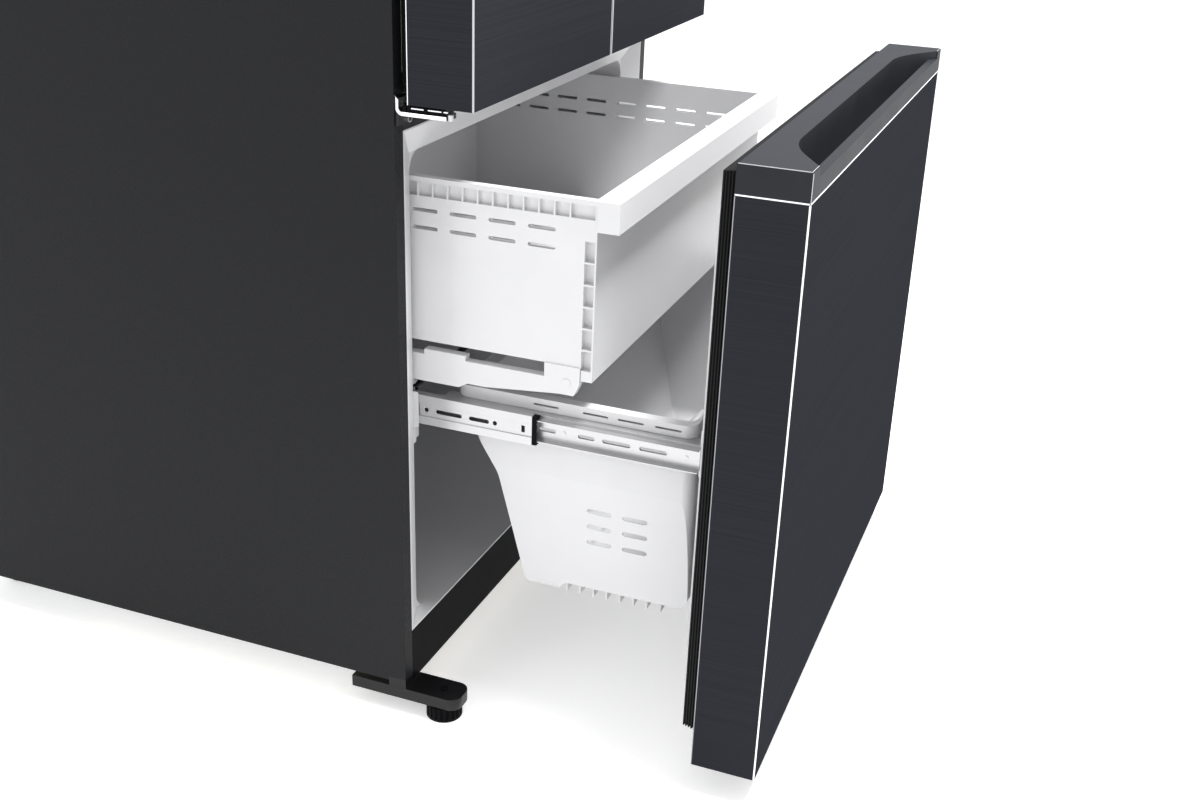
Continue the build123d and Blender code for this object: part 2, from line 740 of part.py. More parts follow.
def insulation():
    """Foam between the cabinet shell and the liners, open only at the front."""
    inside = half_width - sheet
    top = deck_bottom + deck_sheet
    y = (cabinet_front, back_face - 2 * sheet)
    foam = block((-inside, inside), y, (side_bottom, cabinet_top - sheet))
    foam += block((-pan_half, pan_half), y, (top, side_bottom))
    for opening, flange, envelope in ((freezer_opening, freezer_flange, freezer_cavity(liner)),
                                      (fresh_opening, fresh_flange, fresh_cavity(liner))):
        foam -= throat(flange_outer, flange, liner_half + liner, (flange[0], opening[1] + liner))
        foam -= envelope
    skin_y = (cabinet_front, cabinet_front + sheet)
    for x in ((-inside, -flange_outer), (flange_outer, inside)):
        foam -= block(x, skin_y, (side_bottom, cabinet_top))
    foam -= block((-flange_outer, flange_outer), skin_y, (fresh_flange[1], cabinet_top))
    foam -= toe_panel()
    foam -= rail_block()
    foam -= block((-inside, inside), (cabinet_front, cabinet_front + bracket_tab_depth),
                  (top, side_bottom))
    foam -= block((-inside, inside), (door_front + machine_front_set, y[1]),
                  (top, machine_top + deck_sheet))
    for x in ((-pan_half, -pan_half + deck_sheet), (pan_half - deck_sheet, pan_half)):
        foam -= block(x, y, (top, deck_bottom + deck_rim))
    return foam - both_sides(corner_tab(side_bottom))


# ---- door pieces that all three doors share ----------------------------------------------------
def door_skin(x, z):
    """Steel skin: front, both sides and narrow returns behind."""
    outer = block(x, (door_front, door_back), z)
    front_edges = outer.edges().filter_by(Axis.Z).sort_by(Axis.Y)[:2]
    outer = fillet(front_edges, skin_radius)
    inner = block((x[0] + sheet, x[1] - sheet), (door_front + sheet, door_back - sheet), z)
    back = block((x[0] + skin_return, x[1] - skin_return), (door_back - sheet, door_back), z)
    return outer - [inner, back]


def door_core(x, z):
    """Foamed body of a door inside its skin, flush with the skin's returns behind."""
    core = block((x[0] + sheet, x[1] - sheet), (door_front + sheet, door_back - sheet), z)
    return core + block((x[0] + skin_return, x[1] - skin_return), (door_front + sheet, door_back), z)


def ring(x, z, y, wall, corner=0.0):
    """Four-sided frame of one wall thickness, seen from the front."""
    outer = block(x, y, z)
    inner = block((x[0] + wall, x[1] - wall), y, (z[0] + wall, z[1] - wall))
    if corner > 0.0:
        outer = fillet(outer.edges().filter_by(Axis.Y), corner)
        inner = fillet(inner.edges().filter_by(Axis.Y), corner / 2)
    return outer - inner


def door_gasket(x, z):
    """Soft seal: a base strip round the door and the narrower magnet strip on it."""
    base_back = door_back + gasket_base
    base = ring(x, z, (door_back, base_back), gasket_width)
    inset = gasket_step
    strip = ring((x[0] + inset, x[1] - inset), (z[0] + inset, z[1] - inset),
                 (base_back, gasket_back), gasket_width - 2 * gasket_step)
    return base + strip


# ---- freezer drawer, drawn shut ------------------------------------------------------------------
def freezer_skin():
    return door_skin((-half_width, half_width), (door_bottom, freezer_skin_top))


def pocket_cut(z):
    """Cutter of the handle pocket: straight back, slanted ends and wide round corners between."""
    left = [(-pocket_half, -pocket_lip), (-pocket_half, pocket_end_set),
            (-pocket_corner_half, pocket_back_set)]
    right = [(-px, depth_set) for px, depth_set in reversed(left)]
    cut = plan_profile([(px, door_front + depth_set) for px, depth_set in left + right], z)
    return fillet(cut.edges().filter_by(Axis.Z).sort_by(Axis.Y)[-2:], pocket_round)


def handle_cap():
    """Cap along the freezer door's top with a long finger pocket behind a low front lip."""
    y = (door_front, door_back)
    cap = block((-half_width, half_width), y, (freezer_skin_top, freezer_top))
    cap = chamfer(cap.edges().filter_by(Axis.X).sort_by(Axis.Z)[2:], cap_edge)
    floor = freezer_top - pocket_depth
    cap += pocket_trough(floor - pocket_wall)
    cap -= pocket_cut((freezer_top - pocket_lip_drop, freezer_top))
    well = block((-pocket_half, pocket_half), set_at(pocket_lip, pocket_back_set), (floor, freezer_top))
    return cap - (pocket_cut((floor, freezer_top)) & well)


def pocket_trough(bottom):
    """Box round the pocket that reaches down into the freezer door."""
    half = pocket_half + pocket_wall
    y = set_at(pocket_lip - pocket_wall, pocket_back_set + pocket_wall)
    return block((-half, half), y, (bottom, freezer_skin_top))


def bottom_cap(x):
    """Plate that closes a door's lower end inside its skin."""
    y = (door_front + sheet, door_back - sheet)
    return block((x[0] + sheet, x[1] - sheet), y, (door_bottom, door_bottom + end_plate))


def freezer_door_liner():
    """Foamed door body with the raised white ring behind it."""
    core = door_core((-half_width, half_width), (door_bottom + end_plate, freezer_skin_top))
    core += block((-half_width + skin_return, half_width - skin_return), (door_back - sheet, door_back),
                  (door_bottom, door_bottom + end_plate))
    core += ring((-dike_half, dike_half), freezer_dike, (door_back, dike_back), dike_wall, dike_corner)
    return core - pocket_trough(freezer_top - pocket_depth - pocket_wall)


def freezer_gasket_ring():
    return door_gasket((-gasket_half, gasket_half), freezer_gasket)


def arm_outer_x():
    """Outer face of a drawer arm, which is the inner face of the inner slide member."""
    return -liner_half + slide_sheet + running_gap + slide_sheet + running_gap + inner_depth


def drawer_arm():
    """Left arm: plate beside the slide, ledge for the bin, foot on the door's ring, shaft lug."""
    x = arm_outer_x()
    plate_x = (x, x + arm_plate)
    y = (dike_back, door_front + arm_back_set)
    arm = block(plate_x, y, arm_z)
    ledge_y = (dike_back, door_front + arm_ledge_back_set)
    arm += block((x, x + arm_plate + arm_ledge), ledge_y, (arm_z[1] - arm_plate, arm_z[1]))
    arm += block((x, x + arm_foot_width), (dike_back, dike_back + arm_plate), arm_foot_z)
    pinion_y = door_front + pinion_set
    lug_y = (pinion_y - journal_r - arm_lug, y[1])
    arm += block(plate_x, lug_y, (arm_z[1] - arm_plate, arm_lug_top))
    arm -= rod("x", (x, pinion_y, pinion_z), arm_plate, journal_r + pin_gap)
    return arm - inner_slot_cuts(plate_x)


def inner_slot_cuts(x):
    """Cutters of the slots that go through the inner member and the arm behind it."""
    return [slot_cut(x, door_front + middle, slide_z, length, slide_slot)
            for middle, length in inner_slots]


def inner_slide():
    """Left inner member, fixed to the arm, with its web inward and its flanges outward."""
    x1 = arm_outer_x()
    x0 = x1 - inner_depth
    y = set_at(inner_slide_set, inner_slide_set + slide_length)
    z = (slide_z - inner_half, slide_z + inner_half)
    member = block((x0, x1), y, z)
    member -= block((x0, x1 - slide_sheet), y, (z[0] + slide_sheet, z[1] - slide_sheet))
    for depth_set in rivet_sets:
        place = (x1 - slide_sheet - rivet_head, door_front + depth_set, slide_z)
        member += rod("x", place, rivet_head, rivet_r)
    return member - inner_slot_cuts((x0, x1))


def bin_outline(inset):
    """Side outline of the lower bin, drawn in by an inset, with the radius of each corner."""
    step = (bin_step_sets[0] + inset, bin_step_sets[1] + inset)
    front = bin_front_set + inset
    back = bin_back_set - inset
    corners = [(front, bin_rim_top, 0.0), (front, bin_fin_root + inset, bin_round - inset),
               (step[0], bin_fin_root + inset, bin_step_round), (step[1], bin_bottom + inset, bin_step_round),
               (bin_rear_corner_set - inset, bin_bottom + inset, bin_round),
               (bin_bend[0] - inset, bin_bend[1], bin_bend_round),
               (back, bin_upright_z, bin_round), (back, bin_rim_top, 0.0)]
    return rounded_face([(door_front + depth_set, z, radius) for depth_set, z, radius in corners])


def bin_section(inset):
    """Front outline of the lower bin: upright down to the crease, then drawn in."""
    top = bin_top_half - inset
    low = bin_bottom_half - inset
    half = [(top, bin_rim_top, 0.0), (top, bin_crease, 0.0), (low, bin_bottom + inset, bin_round - inset)]
    return rounded_face(half + [(-px, z, radius) for px, z, radius in reversed(half)])


def bin_body(inset):
    """Tub of the lower bin as a solid, drawn in by an inset, with round upright corners."""
    body = side_profile(bin_outline(inset), (-bin_top_half, bin_top_half))
    y = set_at(bin_front_set, bin_back_set)
    body = body & front_profile(bin_section(inset), y)
    corner_y = set_at(bin_front_set + inset, bin_back_set - inset)
    half = bin_top_half - inset
    plan = block((-half, half), corner_y, (bin_bottom, bin_rim_top))
    return body & fillet(plan.edges().filter_by(Axis.Z), bin_corner)


def lower_bin():
    """Tapered freezer bin with a flanged rim, side slots and fins under it."""
    body = bin_body(0.0)
    rim_x = (-bin_rim_half, bin_rim_half)
    rim_y = set_at(bin_rim_front_set, bin_rim_back_set)
    rim = block(rim_x, rim_y, (bin_rim_top - bin_rim_skirt, bin_rim_top))
    rim = fillet(rim.edges().filter_by(Axis.Z), bin_rim_corner)
    wall = bin_wall
    skirt_x = (rim_x[0] + wall, rim_x[1] - wall)
    skirt_y = (rim_y[0] + wall, rim_y[1] - wall)
    under = block(skirt_x, skirt_y, (bin_rim_top - bin_rim_skirt, bin_rim_top - wall))
    rim -= fillet(under.edges().filter_by(Axis.Z), bin_rim_corner - wall)
    fins = []
    for number in range(bin_fins):
        middle = door_front + bin_fin_first_set + number * bin_fin_pitch
        y = (middle - bin_fin_thickness / 2, middle + bin_fin_thickness / 2)
        fins.append(block((-bin_fin_half, bin_fin_half), y, (bin_fin_tip, bin_fin_root + wall)))
    body = (body + rim + fins) - bin_body(wall)
    cuts = []
    for side in (-1, 1):
        x = sorted((side * (bin_bottom_half - bin_corner), side * (bin_top_half + wall)))
        for column in range(2):
            for row in range(3):
                middle = door_front + bin_slot_first[0] + column * bin_slot_pitch[0]
                height = bin_slot_first[1] + row * bin_slot_pitch[1]
                cuts.append(slot_cut(x, middle, height, bin_slot_length, bin_slot_height))
        skirt = sorted((side * (bin_rim_half - 2 * wall), side * (bin_rim_half + wall)))
        for middle in rim_slot_sets:
            cuts.append(slot_cut(skirt, door_front + middle, rim_slot_z, rim_slot_length, rim_slot_height))
    return body - cuts


# ---- middle and fixed slide members ---------------------------------------------------------------
def channel(x0, width_in, half, mouth_half, front_set):
    """Channel member open towards the middle of the refrigerator, lips along its flanges."""
    y = set_at(front_set, front_set + slide_length)
    z = (slide_z - half, slide_z + half)
    member = block((x0, x0 + width_in), y, z)
    room_z = (z[0] + slide_sheet, z[1] - slide_sheet)
    room = block((x0 + slide_sheet, x0 + width_in - slide_sheet), y, room_z)
    mouth = block((x0 + slide_sheet, x0 + width_in), y, (slide_z - mouth_half, slide_z + mouth_half))
    return member - [room, mouth]


def middle_slide():
    """Left middle member: raised ball tracks along its flat web, slots, holes and a window."""
    x0 = -liner_half + slide_sheet + running_gap
    member = channel(x0, middle_depth, middle_half, inner_half + running_gap, middle_slide_set)
    y = set_at(middle_slide_set, middle_slide_set + slide_length)
    back = x0 + track_step + slide_sheet
    member += block((x0, back), y, (slide_z - track_half - slide_sheet, slide_z + track_half + slide_sheet))
    member -= block((x0, x0 + track_step), y, (slide_z - track_half, slide_z + track_half))
    web = (x0, back)
    cuts = [slot_cut(web, door_front + middle, slide_z, length, slide_slot)
            for middle, length in middle_slots]
    cuts += [rod("x", (x0, door_front + middle, slide_z), back - x0, middle_hole_r)
             for middle in middle_holes]
    middle, length, height = middle_window
    cuts.append(block(web, set_at(middle - length / 2, middle + length / 2),
                      (slide_z - height / 2, slide_z + height / 2)))
    return member - cuts


def slide_stop():
    """Black end piece on the front of a middle member, open round the inner member."""
    x0 = -liner_half + slide_sheet + running_gap
    inner_x0 = x0 + slide_sheet + running_gap
    y = set_at(middle_slide_set - stop_length, middle_slide_set)
    z = (slide_z - stop_half, slide_z + stop_half)
    stop = block((x0, x0 + middle_depth), y, z)
    hole_z = (slide_z - inner_half - running_gap, slide_z + inner_half + running_gap)
    return stop - block((inner_x0 - running_gap / 2, x0 + middle_depth), y, hole_z)


def outer_slide():
    return channel(-liner_half, outer_depth, outer_half, middle_half + running_gap, outer_slide_set)


def slide_clip():
    """White clip at the cabinet mouth, in front of the fixed member and under it."""
    x0 = -liner_half
    y = set_at(clip_front_set, outer_slide_set)
    plate = block((x0, x0 + clip_plate), y, (clip_foot_z[1], slide_z + outer_half))
    root = block((x0, x0 + clip_root_depth), set_at(clip_root_set, clip_foot_sets[0]), clip_foot_z)
    return plate + root + block((x0, x0 + clip_foot_depth), set_at(*clip_foot_sets), clip_foot_z)


def rack_teeth():
    """Straight-sided rack teeth pointing down, in mesh with the pinion along its whole travel."""
    pitch = math.pi * rack_module
    slope = math.tan(math.radians(pressure_angle))
    top_half = pitch / 4 - mesh_play / 2 + slope * (rack_root_z - rack_pitch_z)
    tip_half = pitch / 4 - mesh_play / 2 - slope * rack_addendum
    start = door_front + rail_front_set
    middle = door_front + pinion_set - pitch / 2
    count = int((middle - start - top_half) / pitch)
    points = [(start, rack_root_z + rack_back)]
    points.append((start, rack_root_z))
    last = int((rack_end_set - pinion_set) / pitch)
    for number in range(-count, last):
        centre = middle + number * pitch
        points += [(centre - top_half, rack_root_z), (centre - tip_half, rack_pitch_z - rack_addendum),
                   (centre + tip_half, rack_pitch_z - rack_addendum), (centre + top_half, rack_root_z)]
    end = door_front + rack_end_set
    points += [(end, rack_root_z), (end, rack_root_z + rack_back)]
    return side_profile(points, (-rack_face[1], -rack_face[0]))


def drawer_rail():
    """Left wall rail: ledge for the upper drawer's runner and the rack of the stabiliser."""
    x0 = -liner_half
    y = set_at(rail_front_set, rail_back_set)
    rail = block((x0, x0 + rail_wall), y, (rack_root_z, rail_top))
    rail += block((x0, -runner_half + runner_width), y,
                  (rack_root_z + rack_back, runner_rear_z - running_gap))
    rack_y = set_at(rail_front_set, rack_end_set)
    rail += block((x0, -rack_face[0]), rack_y, (rack_root_z, rack_root_z + rack_back))
    return rail + rack_teeth()


def pinion():
    """Involute pinion about X, centred on the origin, with a tooth pointing straight up at its rack."""
    base_r = pitch_r * math.cos(math.radians(pressure_angle))
    tip_r = pitch_r + pinion_addendum
    root_r = pitch_r - rack_addendum - running_gap
    involute = math.tan(math.radians(pressure_angle)) - math.radians(pressure_angle)
    half_tooth = math.pi / (2 * pinion_teeth) + involute
    start_r = max(base_r, root_r)
    flank = []
    for step in range(flank_steps + 1):
        radius = start_r + (tip_r - start_r) * step / flank_steps
        roll = math.sqrt(max((radius / base_r) ** 2 - 1, 0.0))
        flank.append((radius, half_tooth - (roll - math.atan(roll))))
    flank.insert(0, (root_r, flank[0][1]))
    points = []
    for tooth in range(pinion_teeth):
        centre = 2 * math.pi * tooth / pinion_teeth
        for radius, angle in flank:
            points.append((radius * math.sin(centre - angle), radius * math.cos(centre - angle)))
        for radius, angle in reversed(flank):
            points.append((radius * math.sin(centre + angle), radius * math.cos(centre + angle)))
    return side_profile(points, (-rack_face[1] + running_gap, -rack_face[0]))


def sync_shaft():
    """Cross shaft with a pinion at each end, carried in the lugs of the two drawer arms."""
    y = door_front + pinion_set
    gear = Pos(0, y, pinion_z) * pinion()
    arm_x = arm_outer_x()
    journal = rod("x", (arm_x + running_gap, y, pinion_z), arm_plate + running_gap, journal_r)
    half = rack_face[0]
    shaft = rod("x", (-half, y, pinion_z), 2 * half, shaft_r)
    return shaft + gear + journal + other_side(gear + journal)


# ---- upper drawer -----------------------------------------------------------------------------
def drawer_sets(*values):
    """Row y values measured back from the upper drawer's own front edge, drawn shut."""
    return tuple(door_front + drawer_front_set + value for value in values)


def drawer_shell():
    """Tub with a recessed channel under its rim, all walls of the same plastic."""
    side = drawer_side_half
    y = drawer_sets(fascia_depth, drawer_length)
    tub = block((-side, side), y, (drawer_bottom, channel_bottom))
    neck = drawer_channel_half
    tub += block((-neck, neck), y, (channel_bottom, fascia_z[1] - rim_thickness))
    rim_y = drawer_sets(0.0, drawer_length)
    tub += block((-drawer_half, drawer_half), rim_y, (fascia_z[1] - rim_thickness, fascia_z[1]))
    inside_y = (y[0] + plastic, y[1] - plastic)
    room = block((-neck + plastic, neck - plastic), inside_y, (drawer_bottom + plastic, fascia_z[1]))
    return tub - room


def drawer_fascia():
    """Deep front rail: a face and two end faces under the rim, hollow behind for the fingers."""
    y = drawer_sets(0.0, fascia_depth)
    solid = block((-drawer_half, drawer_half), y, fascia_z)
    hollow_y = (y[0] + plastic, y[1])
    hollow_z = (fascia_z[0], fascia_z[1] - rim_thickness)
    half = drawer_half - plastic
    return solid - block((-half, half), hollow_y, hollow_z)


def corner_column(x):
    """Corner column that hangs below the drawer's floor at the front."""
    y = drawer_sets(fascia_depth, fascia_depth + column_width)
    return block(x, y, (drawer_front_bottom, fascia_z[0]))


def column_grooves(x):
    """Pockets in a corner column's outer side, which leave a ladder of thin ribs."""
    y = drawer_sets(fascia_depth, fascia_depth + column_width)
    grooves = []
    height = drawer_front_bottom + column_rib_pitch / 2
    while height < fascia_z[0] - column_rib_pitch:
        groove_z = (height, height + column_rib_pitch - channel_rib)
        grooves.append(block((x[0], x[0] + column_groove), (y[0] + channel_rib, y[1]), groove_z))
        height += column_rib_pitch
    return grooves


def upper_drawer():
    """Upper freezer drawer with its ribbed channel, corner columns and two rows of air slots."""
    body = drawer_shell() + drawer_fascia()
    front_y = drawer_sets(fascia_depth, fascia_depth + plastic)
    side = drawer_side_half
    body += block((-side, side), front_y, (drawer_front_bottom, fascia_z[1] - rim_thickness))
    column_x = (-side, -side + column_depth)
    body += both_sides(corner_column(column_x))
    ribs = []
    rear = drawer_front_set + drawer_length
    for number in range(int((rear - channel_rib_first_set) / channel_rib_pitch)):
        middle = door_front + channel_rib_first_set + number * channel_rib_pitch
        rib = block((-side, -drawer_channel_half), (middle - channel_rib / 2, middle + channel_rib / 2),
                    (channel_bottom, fascia_z[1] - rim_thickness))
        ribs += both_sides(rib)
    body += ribs
    cuts = []
    for groove in column_grooves(column_x):
        cuts += both_sides(groove)
    for row in air_slot_rows:
        for number in range(int((rear - air_slot_first_set) / air_slot_pitch)):
            middle = door_front + air_slot_first_set + number * air_slot_pitch
            wall = (-side, -drawer_channel_half + plastic)
            cuts += both_sides(slot_cut(wall, middle, row, air_slot_length, air_slot_height))
    return body - cuts


def drawer_runner():
    """Left runner under the upper drawer, with its hooked front and its carrying blocks."""
    outline = [(runner_front_set, drawer_bottom)]
    outline += [(runner_front_set + step, z) for step, z in runner_front]
    outline += [(runner_notch_sets[0], runner_front[-1][1]), (runner_notch_sets[1], runner_rear_z),
                (runner_back_set, runner_rear_z), (runner_back_set, runner_top)]
    for start, end in reversed(runner_blocks):
        outline += [(end, runner_top), (end, drawer_bottom), (start, drawer_bottom), (start, runner_top)]
    outline += [(runner_hook[1], runner_top), (runner_hook[1], runner_hook_top),
                (runner_hook[0], runner_hook_top), (runner_hook[0], runner_top),
                (runner_block_set, runner_top), (runner_block_set, drawer_bottom)]
    points = [(door_front + depth_set, z) for depth_set, z in outline]
    column_back = door_front + drawer_front_set + fascia_depth + column_width
    runner = side_profile(points, (-runner_half, -runner_half + runner_width))
    boss_y = door_front + runner_boss[0]
    runner += rod("x", (-runner_half - runner_boss_height, boss_y, runner_boss[1]), runner_boss_height,
                  runner_boss_r)
    return runner - block((-runner_half, 0.0), (points[0][0] - 1.0, column_back),
                          (drawer_front_bottom, drawer_bottom))


# ---- upper doors, drawn on the left --------------------------------------------------------------
def left_of(span):
    """X range on the left side for a range measured outward from the middle."""
    return (-span[1], -span[0])


def upper_door_x():
    return left_of((split_gap / 2, half_width))


def upper_skin():
    return door_skin(upper_door_x(), (upper_bottom, upper_top - top_cap_height))


def door_pin_holes():
    """Holes for the hinge pins in the lower and upper caps of a left door."""
    radius = hinge_pin_r + pin_gap
    length = pin_reach + hole_spare
    low = rod("z", (-hinge_x, hinge_y, upper_bottom), length, radius)
    return [low, rod("z", (-hinge_x, hinge_y, upper_top - length), length, radius)]


def recess_box(wall):
    """Finger recess in the lower edge of a door, or the box round it when a wall is given."""
    x = left_of((door_pocket_x[0] - wall, door_pocket_x[1] + wall))
    y = set_at(door_pocket_sets[0] - wall, door_pocket_sets[1] + wall)
    return block(x, y, (upper_bottom, upper_bottom + door_pocket_height + wall))


def upper_caps():
    """Lower cap with the finger recess and upper cap of a door, with the pin holes."""
    x = upper_door_x()
    inner_x = (x[0] + sheet, x[1] - sheet)
    inner_y = (door_front + sheet, door_back - sheet)
    low = block(inner_x, inner_y, (upper_bottom, upper_bottom + end_cap_depth)) + recess_box(pocket_wall)
    low -= recess_box(0.0)
    skin_top = upper_top - top_cap_height
    top = block(inner_x, inner_y, (skin_top - end_cap_depth, skin_top))
    top += block(x, (door_front, door_back), (skin_top, upper_top))
    holes = door_pin_holes()
    return [low - holes[0], top - holes[1]]


def upper_door_body():
    """Foamed body of a left door with the raised ring behind it."""
    x = upper_door_x()
    skin_top = upper_top - top_cap_height
    core = door_core(x, (upper_bottom + end_cap_depth, skin_top - end_cap_depth))
    back_x = (x[0] + skin_return, x[1] - skin_return)
    core += block(back_x, (door_back - sheet, door_back), (upper_bottom, skin_top))
    dike_x = left_of(door_dike_x)
    core += ring(dike_x, door_dike_z, (door_back, dike_back), dike_wall, dike_corner)
    return core - recess_box(pocket_wall)


def upper_gasket():
    return door_gasket(left_of((door_gasket_inner, door_gasket_outer)), door_gasket_z)


def door_bins():
    """Three open bins inside the ring of a left door."""
    bins = []
    x = left_of((door_dike_x[0] + dike_wall + running_gap, door_dike_x[1] - dike_wall - running_gap))
    y = (door_back + bin_start, door_back + bin_start + bin_depth)
    for floor, height in zip(bin_floors, bin_heights):
        outer = block(x, y, (floor, floor + height))
        outer = fillet(outer.edges().filter_by(Axis.Z).sort_by(Axis.Y)[2:], bin_round)
        room = block((x[0] + bin_wall, x[1] - bin_wall), (y[0] + bin_wall, y[1] - bin_wall),
                     (floor + bin_wall, floor + height))
        bins.append(outer - fillet(room.edges().filter_by(Axis.Z), bin_round - bin_wall))
    return bins


def mullion_z():
    return (door_dike_z[0] + mullion_end, door_dike_z[1] - mullion_end - mullion_top_spare)


def mullion_axis():
    """X and y of the mullion bar's pivot, its far side just behind the gaskets when it is across."""
    return (-mullion_pivot_x, cabinet_front - gasket_clear + mullion_face_gap + mullion_thickness / 2)


def mullion_bar():
    """Bar that seals the split between the doors, drawn folded back against the left door."""
    x, y = mullion_axis()
    half = mullion_thickness / 2
    low, high = mullion_z()
    bar = block((x - half, x + half), (y, y + mullion_reach), (low, high))
    bar += rod("z", (x, y, low), high - low, half)
    length = pin_reach / 2 + hole_spare + running_gap
    radius = mullion_pin_r + pin_gap
    return bar - [rod("z", (x, y, low), length, radius), rod("z", (x, y, high - length), length, radius)]


def mullion_lugs():
    """Two lugs on the left door's ring with the pins that carry the mullion bar."""
    x, y = mullion_axis()
    half = mullion_lug_half
    low, high = mullion_z()
    lug_x = (-door_dike_x[0] - mullion_lug_root, x + half)
    lugs = []
    for lug_low, pin_low in ((low - running_gap - mullion_lug, low - running_gap),
                             (high + running_gap, high + running_gap - pin_reach / 2)):
        lug = block(lug_x, (y - half, y + half), (lug_low, lug_low + mullion_lug))
        lugs.append(lug + rod("z", (x, y, pin_low), pin_reach / 2, mullion_pin_r))
    return lugs


# ---- hinges -------------------------------------------------------------------------------------
def middle_hinge():
    """Left hinge bracket between the doors: flange on the cabinet, arm forward, pin and washer."""
    x = (-hinge_x - arm_half, -hinge_x + arm_half)
    arm_z_range = (middle_arm_bottom, middle_arm_bottom + arm_thickness)
    tip = hinge_y - hinge_washer_r
    bracket = block(x, (tip, cabinet_front), arm_z_range)
    bracket = fillet(bracket.edges().filter_by(Axis.Z).sort_by(Axis.Y)[:2], hinge_bend - 1.0)
    bracket += block(x, (cabinet_front - arm_thickness, cabinet_front), middle_flange)
    hole_r = screw_r + pin_gap
    bracket -= [rod("y", (-hinge_screw_x, cabinet_front - arm_thickness, z), arm_thickness, hole_r)
                for z in hinge_screw_z]
    washer_top = upper_bottom - running_gap
    washer = rod("z", (-hinge_x, hinge_y, arm_z_range[1]), washer_top - arm_z_range[1], hinge_washer_r)
    pin = rod("z", (-hinge_x, hinge_y, arm_z_range[1]), upper_bottom + pin_reach - arm_z_range[1],
              hinge_pin_r)
    return bracket + washer + pin


def top_hinge():
    """Left top hinge: flat arm on the cabinet's top with a pin down into the door's cap."""
    x = (-hinge_x - top_arm_half, -hinge_x + top_arm_half)
    y = (hinge_y - hinge_washer_r, hinge_y - hinge_washer_r + top_arm_length)
    arm = block(x, y, (cabinet_top, cabinet_top + top_plate))
    holes = [rod("z", (-hinge_x, cabinet_front + step, cabinet_top), top_plate, screw_r + pin_gap)
             for step in top_hinge_screw_steps]
    low = upper_top - pin_reach
    return (arm - holes) + rod("z", (-hinge_x, hinge_y, low), cabinet_top + top_plate - low, hinge_pin_r)


def hinge_cover():
    """Left cover over the top hinge."""
    x = (-hinge_x - cover_outer, -hinge_x + cover_inner)
    y = (hinge_y - cover_front, hinge_y - cover_front + cover_length)
    outer = block(x, y, (cabinet_top, cabinet_top + cover_height))
    outer = fillet(outer.edges().filter_by(Axis.Z), cover_round)
    outer = fillet(outer.edges().sort_by(Axis.Z)[-8:], cover_round / 2)
    wall = cover_wall
    room = block((x[0] + wall, x[1] - wall), (y[0] + wall, y[1] - wall),
                 (cabinet_top, cabinet_top + cover_height - wall))
    return outer - room


# ---- leg brackets, feet and rollers ----------------------------------------------------------------
def leg_bracket():
    """Left front bracket: a plate with a skirt on three sides and a corner block behind."""
    x = (-bracket_outer, -bracket_inner)
    y = set_at(bracket_front_set, bracket_back_set)
    outer = block(x, y, (bracket_skirt_bottom, deck_bottom))
    outer = fillet(outer.edges().filter_by(Axis.Z).sort_by(Axis.Y)[:2], bracket_corner)
    wall = bracket_plate
    room = block((x[0] + wall, x[1] - wall), (y[0] + wall, y[1]),
                 (bracket_skirt_bottom, deck_bottom - wall))
    room = fillet(room.edges().filter_by(Axis.Z).sort_by(Axis.Y)[:2], bracket_corner - wall)
    hole = rod("z", (foot_x, door_front + foot_set, deck_bottom - wall), wall, stem_r + pin_gap)
    return outer - [room, hole] + corner_tab(deck_bottom)


def levelling_foot():
    """Left levelling foot: ribbed disc and stem."""
    y = door_front + foot_set
    disc = rod("z", (foot_x, y, 0.0), foot_height, foot_r)
    grooves = []
    for number in range(foot_ribs):
        angle = 2 * math.pi * number / foot_ribs
        centre = (foot_x + foot_r * math.cos(angle), y + foot_r * math.sin(angle), foot_base)
        grooves.append(rod("z", centre, foot_height - foot_base, foot_rib_depth))
    return disc - grooves + rod("z", (foot_x, y, 0.0), stem_top, stem_r)


def rear_roller():
    y = door_front + roller_set
    x = -roller_x - roller_width / 2
    wheel = rod("x", (x, y, roller_r), roller_width, roller_r)
    wheel = chamfer(wheel.edges().filter_by(GeomType.CIRCLE), cap_edge)
    return wheel - rod("x", (x, y, roller_r), roller_width, roller_pin_r + pin_gap)


def screw(axis, place, towards, length):
    """Round-headed screw whose head stands off the place, its shank going the other way."""
    start = list(place)
    index = "xyz".index(axis)
    if towards < 0:
        start[index] = place[index] - screw_head
    head = rod(axis, start, screw_head, screw_head_r)
    shank = list(place)
    if towards > 0:
        shank[index] = place[index] - length
    return head + rod(axis, shank, length, screw_r)


def cabinet_screws():
    """All screws of the cabinet, and the pins of the rear rollers."""
    screws = []
    front = cabinet_front - arm_thickness
    for x in (-hinge_screw_x, hinge_screw_x):
        for z in hinge_screw_z:
            screws.append(screw("y", (x, front, z), -1, arm_thickness + rail_depth))
    for x in (-hinge_x, hinge_x):
        for step in top_hinge_screw_steps:
            place = (x, cabinet_front + step, cabinet_top + top_plate)
            screws.append(screw("z", place, 1, top_plate + sheet))
    for x, z in cover_screw_places():
        screws.append(screw("y", (x, back_face, z), 1, 2 * sheet))
    half = roller_width / 2 + running_gap + ear_thickness
    for x in (-roller_x, roller_x):
        place = (x - half, door_front + roller_set, roller_r)
        screws.append(rod("x", place, 2 * half, roller_pin_r))
    return screws


# ---- fresh-food fittings --------------------------------------------------------------------------
def crisper_x(inset=0.0):
    return left_of((crisper_inner + inset, crisper_outer - inset))


